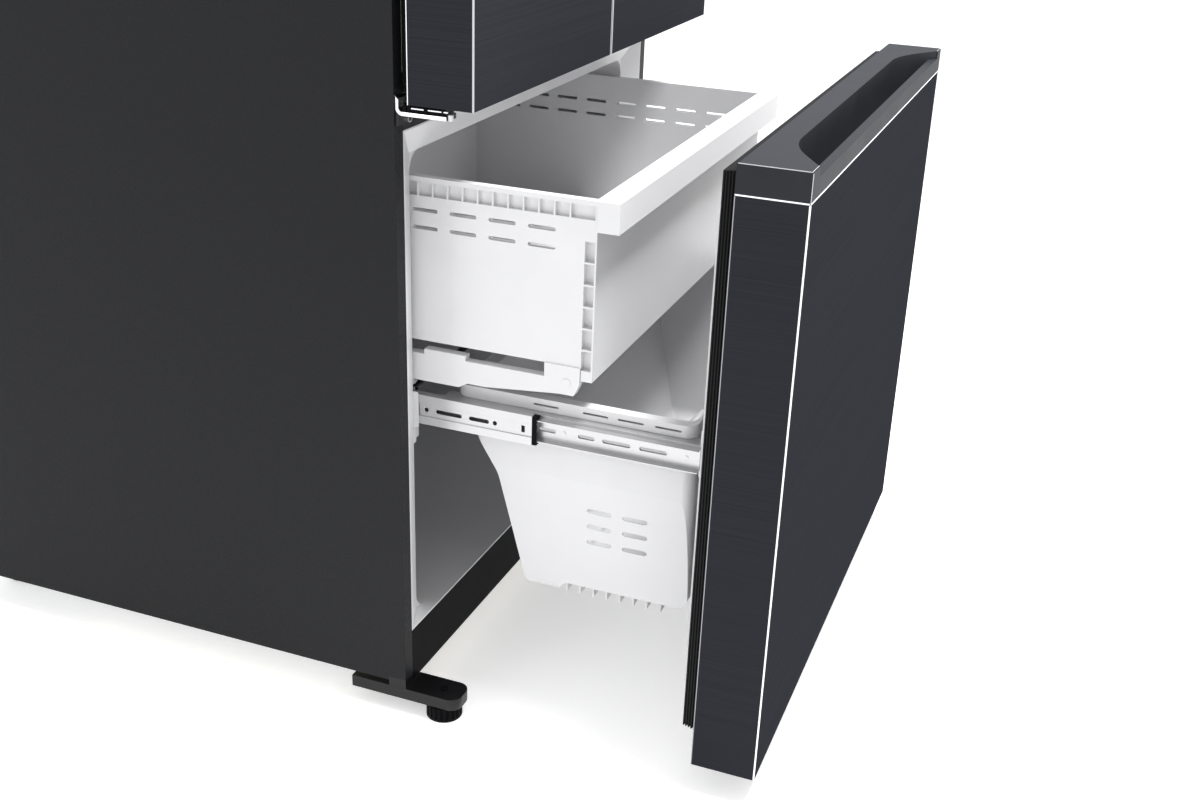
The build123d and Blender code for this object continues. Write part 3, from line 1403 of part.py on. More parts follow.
def shelf_frames():
    """Four frames with a step for the glass; the lowest also carries the crispers' hangers."""
    frames = []
    y = set_at(*shelf_sets)
    for top in shelf_heights:
        frame = block((-shelf_half, shelf_half), y, (top - shelf_rim_height, top))
        rim = shelf_rim
        frame -= block((-shelf_half + rim, shelf_half - rim), (y[0] + rim, y[1] - rim),
                       (top - shelf_rim_height, top))
        step = shelf_rim / 2
        frame -= block((-shelf_half + step, shelf_half - step), (y[0] + step, y[1] - step),
                       (top - glass_thickness, top))
        if top == shelf_heights[0]:
            frame += crisper_hangers(top - shelf_rim_height)
        frames.append(frame)
    return frames


def crisper_hangers(top):
    """Rails under the lowest frame that hold the crispers by their rims."""
    y = set_at(crisper_front_set, crisper_back_set)
    ledge_top = crisper_z[1] - crisper_rim_thickness - running_gap
    ledge_z = (ledge_top - crisper_hanger, ledge_top)
    outer_x = crisper_outer + running_gap
    wall = block((-outer_x - crisper_hanger, -outer_x), y, (ledge_z[0], top))
    ledge = block((-outer_x, -outer_x + crisper_rim - crisper_ledge_gap), y, ledge_z)
    half = crisper_hanger / 2
    middle_ledge = crisper_inner + crisper_rim - crisper_ledge_gap
    parts = both_sides(wall) + both_sides(ledge)
    parts.append(block((-half, half), (y[0], y[1] + 2 * shelf_rim), (ledge_z[0], top)))
    parts.append(block((-middle_ledge, middle_ledge), y, ledge_z))
    return parts


def shelf_glass():
    step = shelf_rim / 2
    y = set_at(shelf_sets[0] + step, shelf_sets[1] - step)
    half = shelf_half - step
    return [block((-half, half), y, (top - glass_thickness, top)) for top in shelf_heights]


def crisper():
    """Left crisper, pushed in: open box with a rim and a lowered grip in its front wall."""
    y = set_at(crisper_front_set, crisper_back_set)
    x = crisper_x(crisper_rim)
    box = block(x, y, crisper_z)
    box = fillet(box.edges().filter_by(Axis.Z), bin_round)
    box += block(crisper_x(), y, (crisper_z[1] - crisper_rim_thickness, crisper_z[1]))
    wall = bin_wall
    room = block((x[0] + wall, x[1] - wall), (y[0] + wall, y[1] - wall), (crisper_z[0] + wall, crisper_z[1]))
    room = fillet(room.edges().filter_by(Axis.Z), bin_round - wall)
    middle = (x[0] + x[1]) / 2
    grip = block((middle - crisper_grip[0] / 2, middle + crisper_grip[0] / 2), (y[0], y[0] + wall),
                 (crisper_z[1] - crisper_grip[1], crisper_z[1]))
    return box - [room, grip]


def duct_panel():
    """Air duct on the fresh-food compartment's back wall with outlet slots."""
    y = set_at(duct_front_set, fresh_back_set)
    panel = block((-duct_half, duct_half), y, duct_z)
    panel = chamfer(panel.edges().filter_by(Axis.Z).sort_by(Axis.Y)[:2], duct_half / 8)
    pitch = (duct_z[1] - duct_z[0]) / duct_slots
    half = duct_slot[0] / 2
    cuts = []
    for number in range(duct_slots):
        z = duct_z[0] + (number + 0.5) * pitch
        cuts.append(block((-half, half), (y[0], y[0] + duct_slot[1]), (z, z + duct_slot[1])))
    return panel - cuts


def interior_light():
    y = set_at(*light_sets)
    lamp = block((-light_half, light_half), y, (fresh_opening[1] - light_thickness, fresh_opening[1]))
    return chamfer(lamp.edges().sort_by(Axis.Z)[:4], light_thickness / 4)


# ---- cooling system --------------------------------------------------------------------------------
def evaporator_cover():
    """Plate across the freezer's back with air slots in front of the fan."""
    y = set_at(cover_set, cover_set + cover_thickness)
    plate = block((-liner_half, liner_half), y, (step_top, freezer_opening[1])) & freezer_cavity()
    start = freezer_fan_z - (cover_slots - 1) / 2 * cover_slot_pitch
    half = cover_slot[0] / 2
    cuts = []
    for number in range(cover_slots):
        z = start + number * cover_slot_pitch
        cuts.append(block((-half, half), y, (z - cover_slot[1] / 2, z + cover_slot[1] / 2)))
    return plate - cuts


def evaporator():
    """Finned evaporator with two end plates that stand off the freezer's back wall."""
    y = set_at(*evaporator_sets)
    x0 = -evaporator_half
    pitch = 2 * evaporator_half / (evaporator_fins - 1)
    rows = (evaporator_z[1] - evaporator_z[0]) / tube_rows
    parts = []
    for number in range(evaporator_fins):
        x = x0 + number * pitch
        back = door_front + freezer_back_set if number in (0, evaporator_fins - 1) else y[1]
        parts.append(block((x - fin_sheet / 2, x + fin_sheet / 2), (y[0], back), evaporator_z))
    for row in range(tube_rows):
        z = evaporator_z[0] + (row + 0.5) * rows
        for share in (0.25, 0.75):
            place = (x0 - fin_sheet, y[0] + share * (y[1] - y[0]), z)
            parts.append(rod("x", place, 2 * evaporator_half + 2 * fin_sheet, tube_r))
    return parts[0] + parts[1:]


def fan(radius):
    """Five-bladed fan about Z, centred on the origin, without its shaft."""
    wheel = Cylinder(fan_hub_r, fan_blade_width)
    blades = []
    for number in range(fan_blades):
        length = radius - fan_hub_r / 2
        blade = Box(length, fan_blade_width, fan_blade_sheet)
        blade = Pos(fan_hub_r / 2 + length / 2, 0, 0) * Rot(fan_twist, 0, 0) * blade
        blades.append(Rot(0, 0, 360.0 / fan_blades * number) * blade)
    return wheel + blades


def evaporator_fan():
    """Fan behind the slots of the evaporator cover, its shaft to the rear."""
    y = door_front + freezer_fan_set
    wheel = Pos(0, y, freezer_fan_z) * Rot(-90, 0, 0) * fan(freezer_fan_r)
    motor_front = door_front + freezer_back_set - fan_motor_length
    end = motor_front + fan_motor_length / 2
    return wheel + rod("y", (0, y, freezer_fan_z), end - y, fan_shaft_r)


def condenser_fan():
    y = door_front + compressor_set
    wheel = Pos(condenser_fan_x, y, condenser_fan_z) * Rot(0, 90, 0) * fan(condenser_fan_r)
    length = fan_blade_width + fan_motor_length
    return wheel + rod("x", (condenser_fan_x, y, condenser_fan_z), length, fan_shaft_r)


def fan_motors():
    """Motor of the evaporator fan on the back wall and motor of the condenser fan on its post."""
    back = door_front + freezer_back_set
    motor_front = back - fan_motor_length
    hole = fan_shaft_r + pin_gap
    first = rod("y", (0, motor_front, freezer_fan_z), fan_motor_length, fan_motor_r)
    first -= rod("y", (0, motor_front, freezer_fan_z), fan_motor_length / 2 + hole_spare, hole)
    y = door_front + compressor_set
    x = condenser_fan_x + 1.5 * fan_blade_width
    second = rod("x", (x, y, condenser_fan_z), fan_motor_length, fan_motor_r)
    post_half = motor_post[1] / 2
    second += block((x + 2.0, x + 2.0 + motor_post[0]), (y - post_half, y + post_half),
                    (deck_bottom + deck_sheet, condenser_fan_z))
    second -= rod("x", (x, y, condenser_fan_z), fan_motor_length - fan_blade_width / 4, hole)
    return [first, second]


def compressor():
    """Domed compressor on a foot plate with four rubber feet."""
    x, y = compressor_x, door_front + compressor_set
    deck = deck_bottom + deck_sheet
    low = deck + compressor_lift
    body = rod("z", (x, y, low), compressor_height, compressor_r)
    body = fillet(body.edges().filter_by(GeomType.CIRCLE).sort_by(Axis.Z)[-1:], compressor_dome)
    spread = grommet_spread
    half = spread + grommet_r
    plate = block((x - half, x + half), (y - half, y + half), (low, low + compressor_plate))
    parts = [plate]
    for px in (x - spread, x + spread):
        for py in (y - spread, y + spread):
            parts.append(rod("z", (px, py, deck), compressor_lift, grommet_r))
    return body + parts


def condenser():
    """Finned condenser whose two end plates stand on the base pan."""
    y = set_at(*condenser_sets)
    x0, x1 = condenser_x
    pitch = (x1 - x0) / (condenser_fins - 1)
    deck = deck_bottom + deck_sheet
    parts = []
    for number in range(condenser_fins):
        x = x0 + number * pitch
        low = deck if number in (0, condenser_fins - 1) else condenser_z[0]
        parts.append(block((x - fin_sheet / 2, x + fin_sheet / 2), y, (low, condenser_z[1])))
    for column in range(condenser_rows[0]):
        for row in range(condenser_rows[1]):
            place = (x0 - fin_sheet, y[0] + (column + 0.5) / condenser_rows[0] * (y[1] - y[0]),
                     condenser_z[0] + (row + 0.5) / condenser_rows[1] * (condenser_z[1] - condenser_z[0]))
            parts.append(rod("x", place, x1 - x0 + 2 * fin_sheet, tube_r))
    return parts[0] + parts[1:]


def drain_tray():
    deck = deck_bottom + deck_sheet
    x = (condenser_x[0] + tray_margin, condenser_x[1] - tray_margin)
    y = set_at(condenser_sets[0], condenser_sets[1])
    tray = block(x, y, (deck, deck + tray_height))
    return tray - block((x[0] + bin_wall, x[1] - bin_wall), (y[0] + bin_wall, y[1] - bin_wall),
                        (deck + bin_wall, deck + tray_height))


# ---- pieces as they stand: freezer drawer pulled out, everything else closed ------------------------
def flat(items):
    """List of shapes from a shape or a list of shapes."""
    return list(items) if isinstance(items, (list, tuple)) else [items]


def save_pulled(name, shapes, share=1.0):
    save(name, *[pulled(shape, share) for shape in flat(shapes)])


def save_pair(left_name, right_name, shapes):
    shapes = flat(shapes)
    save(left_name, *shapes)
    save(right_name, *[other_side(shape) for shape in shapes])


def turned_shaft():
    """Stabiliser shaft at the open end of its travel, turned as its pinions rolled there."""
    y = door_front + pinion_set
    angle = math.degrees(drawer_travel / pitch_r)
    turned = Pos(0, y, pinion_z) * Rot(-angle, 0, 0) * Pos(0, -y, -pinion_z) * sync_shaft()
    return pulled(turned)


# cabinet
save_pair("left_side_panel", "right_side_panel", side_panel())
save("top_panel", top_panel())
save("back_panel", back_panel())
save("machine_cover", machine_cover())
save("base_pan", base_pan())
save("toe_panel", toe_panel())
save("divider_rail", divider_rail())
save("insulation", insulation())
save("freezer_liner", freezer_liner())
save("fresh_food_liner", fresh_liner())
save("leg_brackets", *both_sides(leg_bracket()))
save("middle_hinges", *both_sides(middle_hinge()))
save("top_hinges", *both_sides(top_hinge()))
save("hinge_covers", *both_sides(hinge_cover()))
save("cabinet_screws", *cabinet_screws())
save("outer_slides", *both_sides(outer_slide()))
save("slide_clips", *both_sides(slide_clip()))
save("side_rails", *both_sides(drawer_rail()))
save("shelf_frames", *shelf_frames())
save("shelf_glass", *shelf_glass())
save("air_duct_panel", duct_panel())
save("interior_light", interior_light())
save("evaporator_cover", evaporator_cover())
save("evaporator", evaporator())
save("fan_motors", *fan_motors())
save("compressor", compressor())
save("condenser", condenser())
save("drain_tray", drain_tray())

# freezer drawer, upper drawer and slides
save_pulled("freezer_door_skin", freezer_skin())
save_pulled("freezer_door_caps", [handle_cap(), bottom_cap((-half_width, half_width))])
save_pulled("freezer_door_liner", freezer_door_liner())
save_pulled("freezer_door_gasket", freezer_gasket_ring())
save_pulled("drawer_arms", both_sides(drawer_arm()))
save_pulled("inner_slides", both_sides(inner_slide()))
save_pulled("lower_bin", lower_bin())
save_pulled("middle_slides", both_sides(middle_slide()), middle_slide_share)
save_pulled("slide_stops", both_sides(slide_stop()), middle_slide_share)
save_pulled("upper_drawer", upper_drawer(), upper_drawer_share)
save_pulled("upper_drawer_runners", both_sides(drawer_runner()), upper_drawer_share)
save("sync_shaft", turned_shaft())

# upper doors
save_pair("left_door_skin", "right_door_skin", upper_skin())
save_pair("left_door_caps", "right_door_caps", upper_caps())
save("left_door_liner", upper_door_body() + mullion_lugs())
save("right_door_liner", other_side(upper_door_body()))
save_pair("left_door_gasket", "right_door_gasket", upper_gasket())
save_pair("left_door_bins", "right_door_bins", door_bins())
save("mullion_bar", mullion_bar())
save_pair("left_crisper", "right_crisper", crisper())

# feet, rollers and fans
save_pair("left_foot", "right_foot", levelling_foot())
save_pair("left_roller", "right_roller", rear_roller())
save("condenser_fan", condenser_fan())
save("evaporator_fan", evaporator_fan())
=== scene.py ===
"""Bottom freezer refrigerator: finishes, fine detail, studio light and camera.  Metres, front towards -Y."""
import json
import math

import bmesh
import bpy
from mathutils import Matrix, Vector


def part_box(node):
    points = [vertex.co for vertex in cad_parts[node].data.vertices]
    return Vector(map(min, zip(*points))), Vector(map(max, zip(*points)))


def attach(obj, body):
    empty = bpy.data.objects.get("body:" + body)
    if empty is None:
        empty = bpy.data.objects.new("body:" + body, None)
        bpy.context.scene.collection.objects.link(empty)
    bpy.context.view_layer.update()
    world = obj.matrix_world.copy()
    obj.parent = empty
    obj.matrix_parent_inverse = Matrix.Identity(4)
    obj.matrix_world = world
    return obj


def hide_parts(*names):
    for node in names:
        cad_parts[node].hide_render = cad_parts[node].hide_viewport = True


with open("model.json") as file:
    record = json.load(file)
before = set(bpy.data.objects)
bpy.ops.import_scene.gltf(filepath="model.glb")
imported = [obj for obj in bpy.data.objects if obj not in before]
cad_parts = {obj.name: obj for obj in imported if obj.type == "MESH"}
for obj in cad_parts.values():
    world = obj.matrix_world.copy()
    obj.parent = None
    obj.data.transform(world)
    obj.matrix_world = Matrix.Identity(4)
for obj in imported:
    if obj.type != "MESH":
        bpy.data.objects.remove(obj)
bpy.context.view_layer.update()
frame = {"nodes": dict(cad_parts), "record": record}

MM = 0.001

# ---- tints, linear -------------------------------------------------------------------------------
SIDE_PAINT = (0.0082, 0.0086, 0.0102)
DOOR_STEEL = (0.0240, 0.0248, 0.0300)
CAP_PLASTIC = (0.0270, 0.0290, 0.0340)
SEAL_BLACK = (0.0035, 0.0035, 0.0040)
HINGE_BLACK = (0.010, 0.010, 0.011)
BLACK = (0.0045, 0.0045, 0.0052)
WHITE = (0.655, 0.655, 0.665)
CLEAR_BIN = (0.82, 0.86, 0.88)
SHELF_GLASS = (0.80, 0.90, 0.87)
LAMP_COVER = (0.9, 0.9, 0.88)
ZINC = (0.54, 0.54, 0.55)
GALVANISED = (0.5, 0.51, 0.52)
ALUMINIUM = (0.75, 0.76, 0.77)
SCREW_STEEL = (0.6, 0.6, 0.61)
FOAM = (0.85, 0.78, 0.55)
# painted highlights: light tints for strips that stand in for light caught on folded edges, seams, dashes and
# screw rims
BRIGHT_HIGHLIGHT_TINT = (0.92, 0.93, 0.95)
GREY_HIGHLIGHT_TINT = (0.45, 0.46, 0.48)
DULL_HIGHLIGHT_TINT = (0.30, 0.31, 0.33)
POLISHED = (0.92, 0.92, 0.93)
PALE_FLOOR = (0.93, 0.93, 0.93)
WHITE_LIGHT = (1.0, 1.0, 1.0, 1.0)

# ---- specular levels of the dark finishes --------------------------------------------------------
PAINT_SHINE = 0.18
DOOR_SHINE = 0.0
DARK_PLASTIC_SHINE = 0.04
SEAL_SHINE = 0.2
BLACK_STEEL_SHINE = 0.3

# ---- grain: noise cells per metre, relief in metres ----------------------------------------------
FINE_BRUSH_LINES = (3.0, 3.0, 2600.0)
BROAD_BRUSH_LINES = (1.5, 1.5, 420.0)
BROAD_LINE_SHARE = 0.3
PEBBLES = 650.0
MOTTLES = 18.0
GALVANISED_MOTTLES = 60.0
FINE_MOTTLES = 900.0
UNSTRETCHED = (1.0, 1.0, 1.0)
WHOLE = (0.0, 1.0)            # a mask's range
BRUSH_RELIEF = 0.1 * MM
ZINC_RELIEF = 0.1 * MM
MOULDED_RELIEF = 0.2 * MM
MOULDED_ROUGH_SPREAD = 0.06
GALVANISED_RELIEF = 0.2 * MM
PEBBLE_RELIEF = 0.4 * MM

# ---- edges of the CAD pieces ---------------------------------------------------------------------
SOFT_EDGES = {"white_plastic": 0.8 * MM, "dark_plastic": 0.6 * MM, "black_steel": 0.6 * MM,
              "slide_steel": 0.25 * MM, "white_liner": 0.8 * MM, "black_plastic": 0.4 * MM,
              "side_paint": 0.5 * MM}
# thin or finely cut pieces that keep the CAD's edges
SHARP_NODES = ("insulation", "freezer_liner", "fresh_food_liner", "machine_cover", "upper_drawer",
               "lower_bin", "upper_drawer_runners", "freezer_door_caps")
SOFT_EDGE_ANGLE = math.radians(40.0)
OWN_EDGE_ANGLE = math.radians(30.0)    # the same for the scene's own pieces
WELD_REACH = 0.02 * MM

# ---- sizes of the scene's own pieces -------------------------------------------------------------
EDGE_WIDTH = 1.5 * MM        # painted highlight along the fold of a painted door skin
EDGE_CUT = 0.6 * MM          # flat across the fold
EDGE_PROUD = 0.12 * MM
REAR_EDGE = 0.9 * MM
CAP_LINE = 1.6 * MM          # painted highlight between a door's skin and its cap
CAP_EDGE_LINE = 0.6 * MM
CAP_EDGE_PROUD = 0.08 * MM
CAP_CHAMFER = 1.2 * MM
CAP_POCKET_INSET = 28.5 * MM   # handle pocket's ends from the cap's sides

SEAL_WIDTH = 22.0 * MM
SEAL_RIDGES = 3
SEAL_FOOT = 0.14             # heights in the seal's section are shares of its depth
SEAL_FIRST_RIDGE = 0.20
SEAL_RIDGE_PITCH = 0.22
SEAL_CREST = (0.08, 0.15)    # flat crest, from the groove before it
SEAL_CREST_INSET = 0.6 * MM
SEAL_CREST_STEP = 0.5 * MM   # each ridge stands further in than the one before
SEAL_GROOVE = 1.4 * MM
SEAL_LIP = [(3.4 * MM, 0.84), (2.2 * MM, 0.90), (2.2 * MM, 1.0)]
SEAL_ROUND = 0.25 * MM

ARM_OUTER_X = 406.0 * MM     # hinge arm's outer side, either way from the middle
ARM_BOTTOM = 769.5 * MM
HINGE_STRIP = 4.2 * MM       # thickness of the polished strip along a hinge arm
HINGE_BEND = 9.0 * MM
HINGE_RISE = 17.0 * MM       # strip's upright leg above the arm
HINGE_STEPS = 8
HINGE_TIP_INSET = 2.0 * MM
HINGE_EDGE_DEPTH = 1.5 * MM
HINGE_EDGE_PROUD = 0.4 * MM
HINGE_EDGE_ROUND = 0.4 * MM
INSERT_INSETS = (8.0 * MM, 0.6 * MM)   # ribbed insert's sides from the arm's outer side
INSERT_GAP = 0.5 * MM        # over the polished strip
INSERT_TOP = 11.3 * MM       # above the arm's underside
INSERT_TIP_GAP = 6.0 * MM
INSERT_ROUND = 0.3 * MM
RIB_PITCH = 5.0 * MM
RIB_GAP = 1.2 * MM
DASHES = ((19.0 * MM, 34.0 * MM), (39.0 * MM, 55.0 * MM), (57.5 * MM, 62.5 * MM))   # ahead of the rail
DASH_INSETS = (1.0 * MM, 0.3 * MM)
DASH_DROPS = (3.0 * MM, 1.6 * MM)      # below the insert's top
DASH_ROUND = 0.2 * MM
BUSH_RADIUS = 3.0 * MM
BUSH_HEIGHT = 6.5 * MM
BUSH_INSET = 5.0 * MM
BUSH_LEAD = 3.0 * MM         # ahead of the arm's tip
BUSH_RISE = 3.0 * MM
BUSH_ROUND = 0.4 * MM
SCREW_X = 385.0 * MM
SCREW_HEIGHTS = (763.5 * MM, 781.0 * MM)
SCREW_PROUD = 2.6 * MM
SCREW_CAP = (3.4 * MM, 0.5 * MM, 0.2 * MM)    # radius, thickness, and how far ahead of the screw's face
SCREW_RING = (4.1 * MM, 0.4 * MM, 0.1 * MM)
SCREW_CAP_ROUND = 0.15 * MM
DISC_SEGMENTS = 24
FACING_FRONT = Matrix.Rotation(math.pi / 2, 4, "X")
FACING_UP = Matrix.Identity(4)

# ---- studio --------------------------------------------------------------------------------------
WORLD_STRENGTH = 0.9
FLOOR_GLOW = 0.42
FLOOR_SPAN = 160.0
FLOOR_DROP = 0.5 * MM        # under the feet

# ---- camera, fitted to the photograph's straight edges -------------------------------------------
CAMERA_PLACE = Vector((-1.7429, -0.8559, 1.1029))
CAMERA_YAW = 1.22140         # from +Y towards +X
CAMERA_PITCH = 0.41021       # looking down
CAMERA_ROLL = 0.04071
CAMERA_LENS = 42.54
CAMERA_SENSOR = 36.0
CAMERA_REACH = 60.0


# ---- shader groups: effects laid over the finishes -----------------------------------------------
def new_group(name, size_label, size):
    """Shader group with one input, a mask over the surface and a height for its relief."""
    group = bpy.data.node_groups.new(name, "ShaderNodeTree")
    socket = group.interface.new_socket(size_label, in_out="INPUT", socket_type="NodeSocketFloat")
    socket.default_value = size
    for label in ("Mask", "Height"):
        group.interface.new_socket(label, in_out="OUTPUT", socket_type="NodeSocketFloat")
    entry = group.nodes.new("NodeGroupInput")
    leave = group.nodes.new("NodeGroupOutput")
    return group, entry, leave


def link(tree, source, target):
    tree.links.new(source, target)


def surface_noise(tree, stretch, scale, detail):
    """Noise over the object's own coordinates, stretched along the axes."""
    coords = tree.nodes.new("ShaderNodeTexCoord")
    mapping = tree.nodes.new("ShaderNodeMapping")
    mapping.inputs["Scale"].default_value = stretch
    noise = tree.nodes.new("ShaderNodeTexNoise")
    noise.inputs["Detail"].default_value = detail
    noise.inputs["Scale"].default_value = scale
    link(tree, coords.outputs["Object"], mapping.inputs["Vector"])
    link(tree, mapping.outputs["Vector"], noise.inputs["Vector"])
    return noise


def remap(tree, source, given, wanted):
    """Turns one range of values into another."""
    node = tree.nodes.new("ShaderNodeMapRange")
    for label, value in zip(("From Min", "From Max", "To Min", "To Max"), (*given, *wanted)):
        node.inputs[label].default_value = value
    link(tree, source, node.inputs["Value"])
    return node.outputs["Result"]


def math_node(tree, operation, *values):
    """Math node whose values are numbers or other nodes' outputs."""
    node = tree.nodes.new("ShaderNodeMath")
    node.operation = operation
    for index, value in enumerate(values):
        if isinstance(value, bpy.types.NodeSocket):
            link(tree, value, node.inputs[index])
        else:
            node.inputs[index].default_value = value
    return node.outputs[0]


def brushed_grain_group():
    """Horizontal brush lines, fine ones over broad ones."""
    group, entry, leave = new_group("brushed_grain", "Depth", 1.0)
    fine = surface_noise(group, FINE_BRUSH_LINES, scale=1.0, detail=2.0)
    broad = surface_noise(group, BROAD_BRUSH_LINES, scale=1.0, detail=2.0)
    both = math_node(group, "MULTIPLY_ADD", broad.outputs["Fac"], BROAD_LINE_SHARE, fine.outputs["Fac"])
    grain = remap(group, both, (0.45, 0.9), WHOLE)
    link(group, grain, leave.inputs["Mask"])
    link(group, math_node(group, "MULTIPLY", grain, entry.outputs["Depth"]), leave.inputs["Height"])
    return group


def pebble_grain_group():
    """Fine pebbled coating: rounded grains a millimetre or so across."""
    group, entry, leave = new_group("pebble_grain", "Scale", PEBBLES)
    coords = group.nodes.new("ShaderNodeTexCoord")
    cells = group.nodes.new("ShaderNodeTexVoronoi")
    cells.feature = "SMOOTH_F1"
    cells.inputs["Smoothness"].default_value = 0.6
    link(group, coords.outputs["Object"], cells.inputs["Vector"])
    link(group, entry.outputs["Scale"], cells.inputs["Scale"])
    height = remap(group, cells.outputs["Distance"], (0.0, 0.75), (1.0, 0.0))
    link(group, height, leave.inputs["Mask"])
    link(group, height, leave.inputs["Height"])
    return group


def soft_mottle_group():
    """Slight unevenness of moulded plastic, sheet and foam."""
    group, entry, leave = new_group("soft_mottle", "Scale", MOTTLES)
    broad = surface_noise(group, UNSTRETCHED, scale=MOTTLES, detail=3.0)
    link(group, entry.outputs["Scale"], broad.inputs["Scale"])
    fine = surface_noise(group, UNSTRETCHED, scale=FINE_MOTTLES, detail=1.0)
    link(group, remap(group, broad.outputs["Fac"], (0.3, 0.7), WHOLE), leave.inputs["Mask"])
    link(group, fine.outputs["Fac"], leave.inputs["Height"])
    return group


GRAIN = brushed_grain_group()
PEBBLE = pebble_grain_group()
MOTTLE = soft_mottle_group()


# ---- finishes ------------------------------------------------------------------------------------
def finish(name, tint, roughness, metallic=0.0, **sockets):
    """Material with a Principled shader; further sockets go by name, with _ for each space."""
    material = bpy.data.materials.new(name)
    material.use_nodes = True
    shader = material.node_tree.nodes["Principled BSDF"]
    shader.inputs["Base Color"].default_value = (*tint, 1.0)
    shader.inputs["Roughness"].default_value = roughness
    shader.inputs["Metallic"].default_value = metallic
    for label, value in sockets.items():
        shader.inputs[label.replace("_", " ")].default_value = value
    material.diffuse_color = (*tint, 1.0)
    return material


def grained(material, group, tint, spread, rough, bump, relief, **inputs):
    """Lets a shader group vary a finish's tint, roughness and relief between two ends each."""
    tree = material.node_tree
    shader = tree.nodes["Principled BSDF"]
    effect = tree.nodes.new("ShaderNodeGroup")
    effect.node_tree = group
    for label, value in inputs.items():
        effect.inputs[label].default_value = value
    mask = effect.outputs["Mask"]
    mix = tree.nodes.new("ShaderNodeMix")
    mix.data_type = "RGBA"
    for label, share in zip("AB", spread):
        mix.inputs[label].default_value = (*(share * part for part in tint), 1.0)
    link(tree, mask, mix.inputs["Factor"])
    link(tree, mix.outputs["Result"], shader.inputs["Base Color"])
    link(tree, remap(tree, mask, WHOLE, rough), shader.inputs["Roughness"])
    surface = tree.nodes.new("ShaderNodeBump")
    surface.inputs["Strength"].default_value = bump
    surface.inputs["Distance"].default_value = relief
    link(tree, effect.outputs["Height"], surface.inputs["Height"])
    link(tree, surface.outputs["Normal"], shader.inputs["Normal"])
    return material


def moulded(name, tint, rough, spread=(0.97, 1.0), bump=0.04, **sockets):
    """Plastic, foam or smooth paint: one tint with a slight mottle."""
    material = finish(name, tint, rough, **sockets)
    return grained(material, MOTTLE, tint, spread, (rough, rough + MOULDED_ROUGH_SPREAD), bump,
                   MOULDED_RELIEF)


FINISHES = {
    "side_paint": grained(
        finish("side_paint", SIDE_PAINT, 0.5, Specular_IOR_Level=PAINT_SHINE),
        PEBBLE, SIDE_PAINT, spread=(0.8, 1.2), rough=(0.55, 0.42), bump=0.5, relief=PEBBLE_RELIEF,
        Scale=PEBBLES),
    "door_steel": grained(
        finish("door_steel", DOOR_STEEL, 0.4, Specular_IOR_Level=DOOR_SHINE),
        GRAIN, DOOR_STEEL, spread=(0.86, 1.14), rough=(0.40, 0.48), bump=0.1, relief=BRUSH_RELIEF,
        Depth=1.0),
    "dark_plastic": moulded("dark_plastic", CAP_PLASTIC, 0.42, (0.92, 1.05),
                            Specular_IOR_Level=DARK_PLASTIC_SHINE),
    "seal": moulded("seal", SEAL_BLACK, 0.5, (0.9, 1.1), Specular_IOR_Level=SEAL_SHINE),
    "white_liner": moulded("white_liner", WHITE, 0.32),
    "white_plastic": moulded("white_plastic", WHITE, 0.36),
    "clear_plastic": finish("clear_plastic", CLEAR_BIN, 0.12, Transmission_Weight=0.85),
    "shelf_glass": finish("shelf_glass", SHELF_GLASS, 0.03, Transmission_Weight=1.0),
    "slide_steel": grained(
        finish("slide_steel", ZINC, 0.3, metallic=0.8),
        MOTTLE, ZINC, spread=(0.94, 1.03), rough=(0.3, 0.4), bump=0.04, relief=ZINC_RELIEF,
        Scale=MOTTLES),
    "hinge_steel": moulded("hinge_steel", HINGE_BLACK, 0.25, (0.9, 1.2),
                           Specular_IOR_Level=BLACK_STEEL_SHINE),
    "black_steel": moulded("black_steel", BLACK, 0.3, (0.9, 1.2), Specular_IOR_Level=BLACK_STEEL_SHINE),
    "black_plastic": moulded("black_plastic", BLACK, 0.5, (0.9, 1.2),
                             Specular_IOR_Level=DARK_PLASTIC_SHINE),
    "galvanised": grained(
        finish("galvanised", GALVANISED, 0.4, metallic=1.0),
        MOTTLE, GALVANISED, spread=(0.75, 1.1), rough=(0.35, 0.5), bump=0.05, relief=GALVANISED_RELIEF,
        Scale=GALVANISED_MOTTLES),
    "foam": moulded("foam", FOAM, 0.8, (0.8, 1.0), bump=0.4),
    "bare_aluminium": finish("bare_aluminium", ALUMINIUM, 0.3, metallic=1.0),
    "screw_steel": finish("screw_steel", SCREW_STEEL, 0.25, metallic=1.0),
    "lamp": finish("lamp", LAMP_COVER, 0.5),
}
# painted highlights: light materials for the strips on folds, seams, dashes and screw rims
BRIGHT_PAINTED_HIGHLIGHT = finish("painted_highlight_bright", BRIGHT_HIGHLIGHT_TINT, 0.35)
GREY_PAINTED_HIGHLIGHT = finish("painted_highlight_grey", GREY_HIGHLIGHT_TINT, 0.38)
DULL_PAINTED_HIGHLIGHT = finish("painted_highlight_dull", DULL_HIGHLIGHT_TINT, 0.4)
POLISHED_STRIP = finish("polished_strip", POLISHED, 0.12, metallic=1.0)


# ---- the CAD pieces ------------------------------------------------------------------------------
def round_edges(piece, width, angle):
    """Rounds a piece's edges that are sharper than the angle."""
    bevel = piece.modifiers.new("soft_edges", "BEVEL")
    bevel.width = width
    bevel.segments = 2
    bevel.limit_method = "ANGLE"
    bevel.angle_limit = angle


def dress_frame():
    """Each CAD piece gets its finish, and most get slightly softened edges."""
    slots = {row["node"]: row["material_slot"] for row in frame["record"]["subparts"]}
    for name, piece in frame["nodes"].items():
        piece.data.materials.clear()
        piece.data.materials.append(FINISHES[slots[name]])
        width = SOFT_EDGES.get(slots[name])
        if width and name not in SHARP_NODES:
            weld = piece.modifiers.new("weld", "WELD")
            weld.merge_threshold = WELD_REACH
            round_edges(piece, width, SOFT_EDGE_ANGLE)


dress_frame()


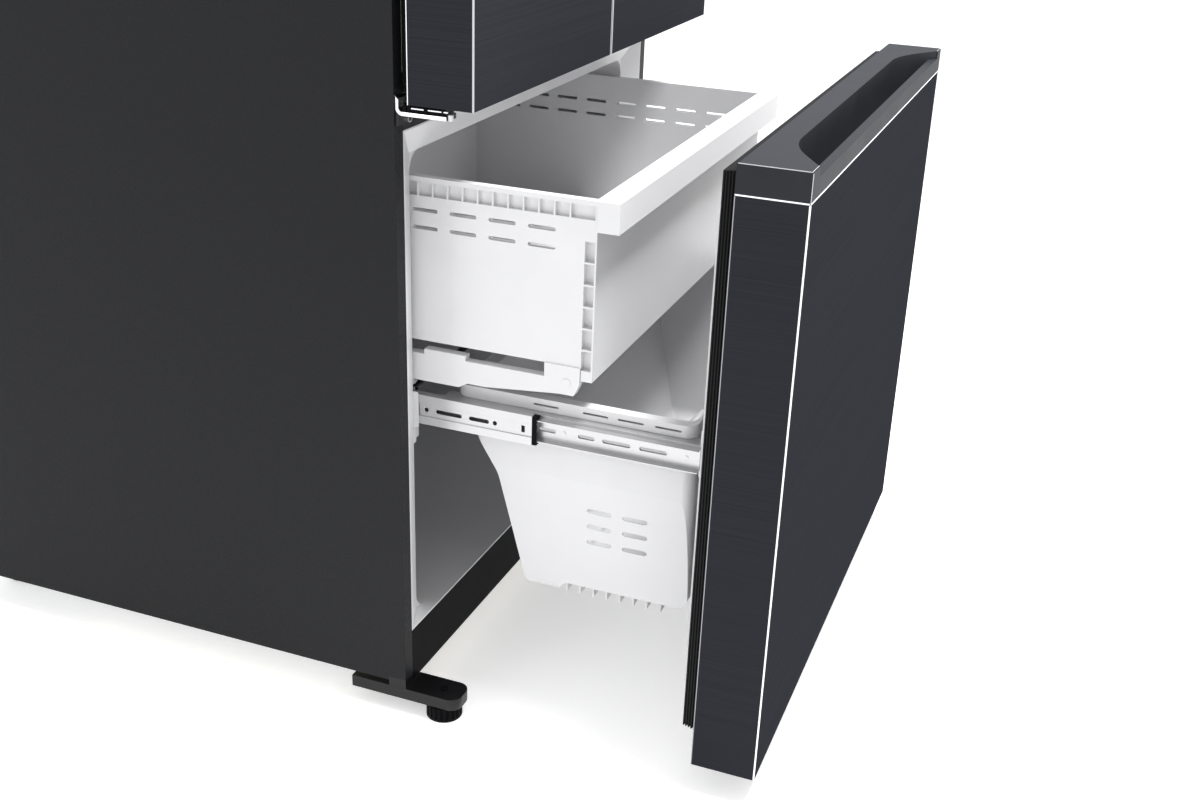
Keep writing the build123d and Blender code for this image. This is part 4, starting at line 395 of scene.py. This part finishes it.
# ---- making the scene's own pieces ---------------------------------------------------------------
def add_block(mesh, low, high):
    low, high = Vector(low), Vector(high)
    size = Matrix.Diagonal((*(high - low), 1.0))
    bmesh.ops.create_cube(mesh, size=1.0, matrix=Matrix.Translation((low + high) / 2) @ size)


def add_prism(mesh, outline, place, start, end):
    """Solid between two copies of an outline; place(u, v, w) gives a corner in the row frame."""
    first = [mesh.verts.new(place(u, v, start)) for u, v in outline]
    last = [mesh.verts.new(place(u, v, end)) for u, v in outline]
    mesh.faces.new(first)
    mesh.faces.new(list(reversed(last)))
    for index, corner in enumerate(first):
        following = (index + 1) % len(first)
        mesh.faces.new((corner, last[index], last[following], first[following]))


def add_disc(mesh, centre, radius, thickness, facing):
    bmesh.ops.create_cone(mesh, cap_ends=True, segments=DISC_SEGMENTS, radius1=radius, radius2=radius,
                          depth=thickness, matrix=Matrix.Translation(centre) @ facing)


def new_piece(name, mesh, material, body, rounding=0.0, nodes=()):
    """Object from a mesh drawn in the row frame, riding a body and perhaps standing for CAD nodes."""
    bmesh.ops.recalc_face_normals(mesh, faces=mesh.faces)
    data = bpy.data.meshes.new(name)
    mesh.to_mesh(data)
    mesh.free()
    data.materials.append(material)
    piece = bpy.data.objects.new(name, data)
    bpy.context.scene.collection.objects.link(piece)
    if rounding:
        round_edges(piece, rounding, OWN_EDGE_ANGLE)
    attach(piece, body)
    if nodes:
        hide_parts(*nodes)


# ---- painted highlights along the folded edges of the door skins ---------------------------------
def front_edge(mesh, x, y, side, z_low, z_high):
    """Painted highlight on a skin's folded front corner; side is -1 for its left edge and 1 for its right
    edge.
    """
    outline = [(EDGE_PROUD, EDGE_WIDTH), (EDGE_PROUD, EDGE_CUT - EDGE_PROUD),
               (EDGE_PROUD - EDGE_CUT, -EDGE_PROUD), (-EDGE_WIDTH, -EDGE_PROUD), (-EDGE_WIDTH, EDGE_WIDTH)]
    add_prism(mesh, outline, lambda u, v, w: (x + side * u, y + v, w), z_low, z_high)


def rear_edge(mesh, x, y, side, z_low, z_high):
    """Thin painted highlight where a skin turns in behind the door."""
    reach = sorted((x + side * EDGE_PROUD, x - side * EDGE_WIDTH))
    add_block(mesh, (reach[0], y - REAR_EDGE, z_low), (reach[1], y + EDGE_PROUD, z_high))


def skin_edges(node, body, front_finish, rear_finish):
    """Painted highlights along the upright edges of a door skin, front and rear, on both of its sides."""
    low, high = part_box(node)
    front = bmesh.new()
    rear = bmesh.new()
    for side, x in ((-1, low.x), (1, high.x)):
        front_edge(front, x, low.y, side, low.z, high.z)
        rear_edge(rear, x, high.y, side, low.z, high.z)
    name = node.replace("_skin", "")
    new_piece(name + "_front_edge_highlights", front, front_finish, body)
    new_piece(name + "_rear_edge_highlights", rear, rear_finish, body)


skin_edges("freezer_door_skin", "freezer_drawer", BRIGHT_PAINTED_HIGHLIGHT, DULL_PAINTED_HIGHLIGHT)
skin_edges("left_door_skin", "left_door", GREY_PAINTED_HIGHLIGHT, BRIGHT_PAINTED_HIGHLIGHT)
skin_edges("right_door_skin", "right_door", GREY_PAINTED_HIGHLIGHT, BRIGHT_PAINTED_HIGHLIGHT)


# ---- painted highlight lines on the freezer door's cap -------------------------------------------
def cap_line():
    """Painted highlight round three sides of the freezer door where its skin meets the cap."""
    low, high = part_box("freezer_door_skin")
    bottom = high.z - CAP_LINE / 2
    top = high.z + CAP_LINE / 2
    deep = EDGE_WIDTH / 2
    line = bmesh.new()
    add_block(line, (low.x - EDGE_PROUD, low.y - EDGE_PROUD, bottom),
              (high.x + EDGE_PROUD, low.y + deep, top))
    for side, x in ((-1, low.x), (1, high.x)):
        reach = sorted((x + side * EDGE_PROUD, x - side * deep))
        add_block(line, (reach[0], low.y, bottom), (reach[1], high.y, top))
    new_piece("freezer_door_cap_highlight", line, BRIGHT_PAINTED_HIGHLIGHT, "freezer_drawer")


def cap_edges():
    """Thin painted highlights along the cap's outer edges; its front line stops at the handle pocket."""
    low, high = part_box("freezer_door_caps")
    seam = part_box("freezer_door_skin")[1].z
    front = low.y + CAP_CHAMFER
    top = high.z + CAP_EDGE_PROUD
    edges = bmesh.new()
    for side, x in ((-1, low.x), (1, high.x)):
        reach = sorted((x - side * CAP_CHAMFER, x - side * CAP_POCKET_INSET))
        add_block(edges, (reach[0], front, high.z - CAP_EDGE_PROUD), (reach[1], front + CAP_EDGE_LINE, top))
        reach = sorted((x + side * CAP_EDGE_PROUD, x - side * CAP_EDGE_LINE))
        add_block(edges, (reach[0], front, high.z - CAP_EDGE_LINE), (reach[1], high.y - CAP_CHAMFER, top))
        add_block(edges, (reach[0], low.y - CAP_EDGE_PROUD, seam),
                  (reach[1], low.y + CAP_EDGE_LINE, high.z - CAP_CHAMFER))
    new_piece("freezer_door_cap_edge_highlights", edges, GREY_PAINTED_HIGHLIGHT, "freezer_drawer")


cap_line()
cap_edges()


# ---- ridged door seals ---------------------------------------------------------------------------
def seal_profile():
    """One side of a magnetic seal's section: inset from its outer edge, and share of its depth."""
    side = [(0.0, 0.0), (0.0, SEAL_FOOT)]
    for ridge in range(SEAL_RIDGES):
        start = SEAL_FIRST_RIDGE + ridge * SEAL_RIDGE_PITCH
        crest = SEAL_CREST_INSET + ridge * SEAL_CREST_STEP
        side.append((crest + SEAL_GROOVE, start))
        side += [(crest, start + share) for share in SEAL_CREST]
    return side + SEAL_LIP


def ridged_seal(node, body):
    """Seal round the back of a door, mitred at its corners, with ridges along both sides."""
    low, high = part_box(node)
    depth = high.y - low.y
    outer = seal_profile()
    inner = [(SEAL_WIDTH - inset, share) for inset, share in reversed(outer)]
    rings = []
    mesh = bmesh.new()
    for inset, share in outer + inner:
        y = low.y + share * depth
        corners = [(low.x + inset, low.z + inset), (high.x - inset, low.z + inset),
                   (high.x - inset, high.z - inset), (low.x + inset, high.z - inset)]
        rings.append([mesh.verts.new((x, y, z)) for x, z in corners])
    for index, ring in enumerate(rings):
        following = rings[(index + 1) % len(rings)]
        for corner in range(4):
            beyond = (corner + 1) % 4
            mesh.faces.new((ring[corner], ring[beyond], following[beyond], following[corner]))
    new_piece(node + "_ridged", mesh, FINISHES["seal"], body, SEAL_ROUND, (node,))


ridged_seal("freezer_door_gasket", "freezer_drawer")
ridged_seal("left_door_gasket", "left_door")
ridged_seal("right_door_gasket", "right_door")


# ---- middle hinges -------------------------------------------------------------------------------
def hinge_arc(wall, radius):
    """Quarter of a circle about the bend's centre, from the arm round to the cabinet's front."""
    angles = [step / HINGE_STEPS * math.pi / 2 for step in range(HINGE_STEPS + 1)]
    return [(wall - HINGE_BEND + radius * math.sin(angle), ARM_BOTTOM + HINGE_BEND - radius * math.cos(angle))
            for angle in angles]


def bent_strip(tip, wall):
    """Side outline of the hinge's edge: along the arm, round the bend and up the cabinet's front."""
    leg_top = ARM_BOTTOM + HINGE_RISE
    outline = [(tip, ARM_BOTTOM)] + hinge_arc(wall, HINGE_BEND)
    outline += [(wall, leg_top + HINGE_STRIP), (wall - HINGE_STRIP, leg_top)]
    outline += reversed(hinge_arc(wall, HINGE_BEND - HINGE_STRIP))
    return outline + [(tip, ARM_BOTTOM + HINGE_STRIP)]


def across(side, insets):
    """Reach in X between two insets from the arm's outer side."""
    return sorted(side * (ARM_OUTER_X - inset) for inset in insets)


def hinge_edge(hand, side, tip, wall):
    strip = bmesh.new()
    x = across(side, (HINGE_EDGE_DEPTH, -HINGE_EDGE_PROUD))
    add_prism(strip, bent_strip(tip, wall), lambda u, v, w: (w, u, v), x[0], x[1])
    new_piece(hand + "_hinge_edge", strip, POLISHED_STRIP, "cabinet", HINGE_EDGE_ROUND)


def hinge_insert(hand, side, tip, wall):
    insert = bmesh.new()
    x = across(side, INSERT_INSETS)
    bottom = ARM_BOTTOM + HINGE_STRIP + INSERT_GAP
    rib = wall - HINGE_BEND
    while rib > tip + INSERT_TIP_GAP:
        add_block(insert, (x[0], rib - RIB_PITCH + RIB_GAP, bottom), (x[1], rib, ARM_BOTTOM + INSERT_TOP))
        rib -= RIB_PITCH
    new_piece(hand + "_hinge_insert", insert, FINISHES["black_plastic"], "cabinet",
              INSERT_ROUND)


def hinge_dashes(hand, side, wall):
    # the bright dashes along the insert are painted highlights
    dashes = bmesh.new()
    x = across(side, DASH_INSETS)
    bottom, top = (ARM_BOTTOM + INSERT_TOP - drop for drop in DASH_DROPS)
    for start, end in DASHES:
        add_block(dashes, (x[0], wall - end, bottom), (x[1], wall - start, top))
    new_piece(hand + "_hinge_dash_highlights", dashes, BRIGHT_PAINTED_HIGHLIGHT, "cabinet", DASH_ROUND)


def hinge_bush(hand, side, tip):
    bush = bmesh.new()
    centre = (side * (ARM_OUTER_X - BUSH_INSET), tip - BUSH_LEAD, ARM_BOTTOM + BUSH_RISE)
    add_disc(bush, centre, BUSH_RADIUS, BUSH_HEIGHT, FACING_UP)
    new_piece(hand + "_hinge_bush", bush, FINISHES["white_plastic"], "cabinet", BUSH_ROUND)


def screw_discs(side, wall, disc):
    """One disc on the face of each of a hinge's screws."""
    radius, thickness, ahead = disc
    face = wall - HINGE_STRIP - SCREW_PROUD
    discs = bmesh.new()
    for z in SCREW_HEIGHTS:
        add_disc(discs, (side * SCREW_X, face - ahead, z), radius, thickness, FACING_FRONT)
    return discs


def dress_hinge(hand, side):
    """Polished edge, ribbed insert with painted highlight dashes, bush, and screw caps with painted highlight
    rings, of a hinge between the doors.
    """
    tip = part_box("middle_hinges")[0].y + HINGE_TIP_INSET
    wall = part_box("divider_rail")[0].y
    hinge_edge(hand, side, tip, wall)
    hinge_insert(hand, side, tip, wall)
    hinge_dashes(hand, side, wall)
    hinge_bush(hand, side, tip)
    new_piece(hand + "_hinge_screw_caps", screw_discs(side, wall, SCREW_CAP), FINISHES["black_steel"],
              "cabinet", SCREW_CAP_ROUND)
    # grey rings round the screw caps are painted highlights on the screw rims
    new_piece(hand + "_hinge_screw_ring_highlights", screw_discs(side, wall, SCREW_RING), DULL_PAINTED_HIGHLIGHT,
              "cabinet")


dress_hinge("left", -1)
dress_hinge("right", 1)


# ---- studio and camera ---------------------------------------------------------------------------
def studio_floor():
    bpy.ops.mesh.primitive_plane_add(size=FLOOR_SPAN, location=(0.0, 0.0, -FLOOR_DROP))
    floor = bpy.context.object
    floor.name = "studio_floor"
    pale = finish("pale_floor", PALE_FLOOR, 0.8, Emission_Color=WHITE_LIGHT, Emission_Strength=FLOOR_GLOW)
    floor.data.materials.append(pale)


def studio_world():
    world = bpy.data.worlds.new("studio_world")
    world.use_nodes = True
    back = world.node_tree.nodes["Background"]
    back.inputs["Color"].default_value = WHITE_LIGHT
    back.inputs["Strength"].default_value = WORLD_STRENGTH
    bpy.context.scene.world = world


def soft_box(name, place, aim, size, power):
    data = bpy.data.lights.new(name, "AREA")
    data.shape = "RECTANGLE"
    data.size, data.size_y = size
    data.energy = power
    lamp = bpy.data.objects.new(name, data)
    bpy.context.scene.collection.objects.link(lamp)
    lamp.location = place
    lamp.rotation_euler = (Vector(aim) - Vector(place)).to_track_quat("-Z", "Y").to_euler()


def photo_camera():
    """Camera at the photograph's place, turned by its yaw, pitch and roll."""
    yaw_cos, yaw_sin = math.cos(CAMERA_YAW), math.sin(CAMERA_YAW)
    pitch_cos, pitch_sin = math.cos(CAMERA_PITCH), math.sin(CAMERA_PITCH)
    roll_cos, roll_sin = math.cos(CAMERA_ROLL), math.sin(CAMERA_ROLL)
    ahead = Vector((yaw_sin * pitch_cos, yaw_cos * pitch_cos, -pitch_sin))
    level = Vector((yaw_cos, -yaw_sin, 0.0))
    upright = level.cross(ahead)
    right = roll_cos * level + roll_sin * upright
    up = roll_cos * upright - roll_sin * level
    turn = Matrix((right, up, -ahead)).transposed().to_4x4()
    data = bpy.data.cameras.new("photo_camera")
    data.sensor_width = CAMERA_SENSOR
    data.lens = CAMERA_LENS
    data.clip_end = CAMERA_REACH
    camera = bpy.data.objects.new("photo_camera", data)
    camera.matrix_world = Matrix.Translation(CAMERA_PLACE) @ turn
    bpy.context.scene.collection.objects.link(camera)
    bpy.context.scene.camera = camera


bpy.context.scene.view_settings.view_transform = "Standard"
studio_floor()
studio_world()
soft_box("side_glow", place=(-2.2, 0.95, 1.45), aim=(-0.41, -0.1, 1.15), size=(0.5, 1.0), power=5.5)
soft_box("drawer_light", place=(0.1, -1.0, 2.7), aim=(0.0, -0.36, 0.6), size=(1.4, 0.6), power=110.0)
photo_camera()
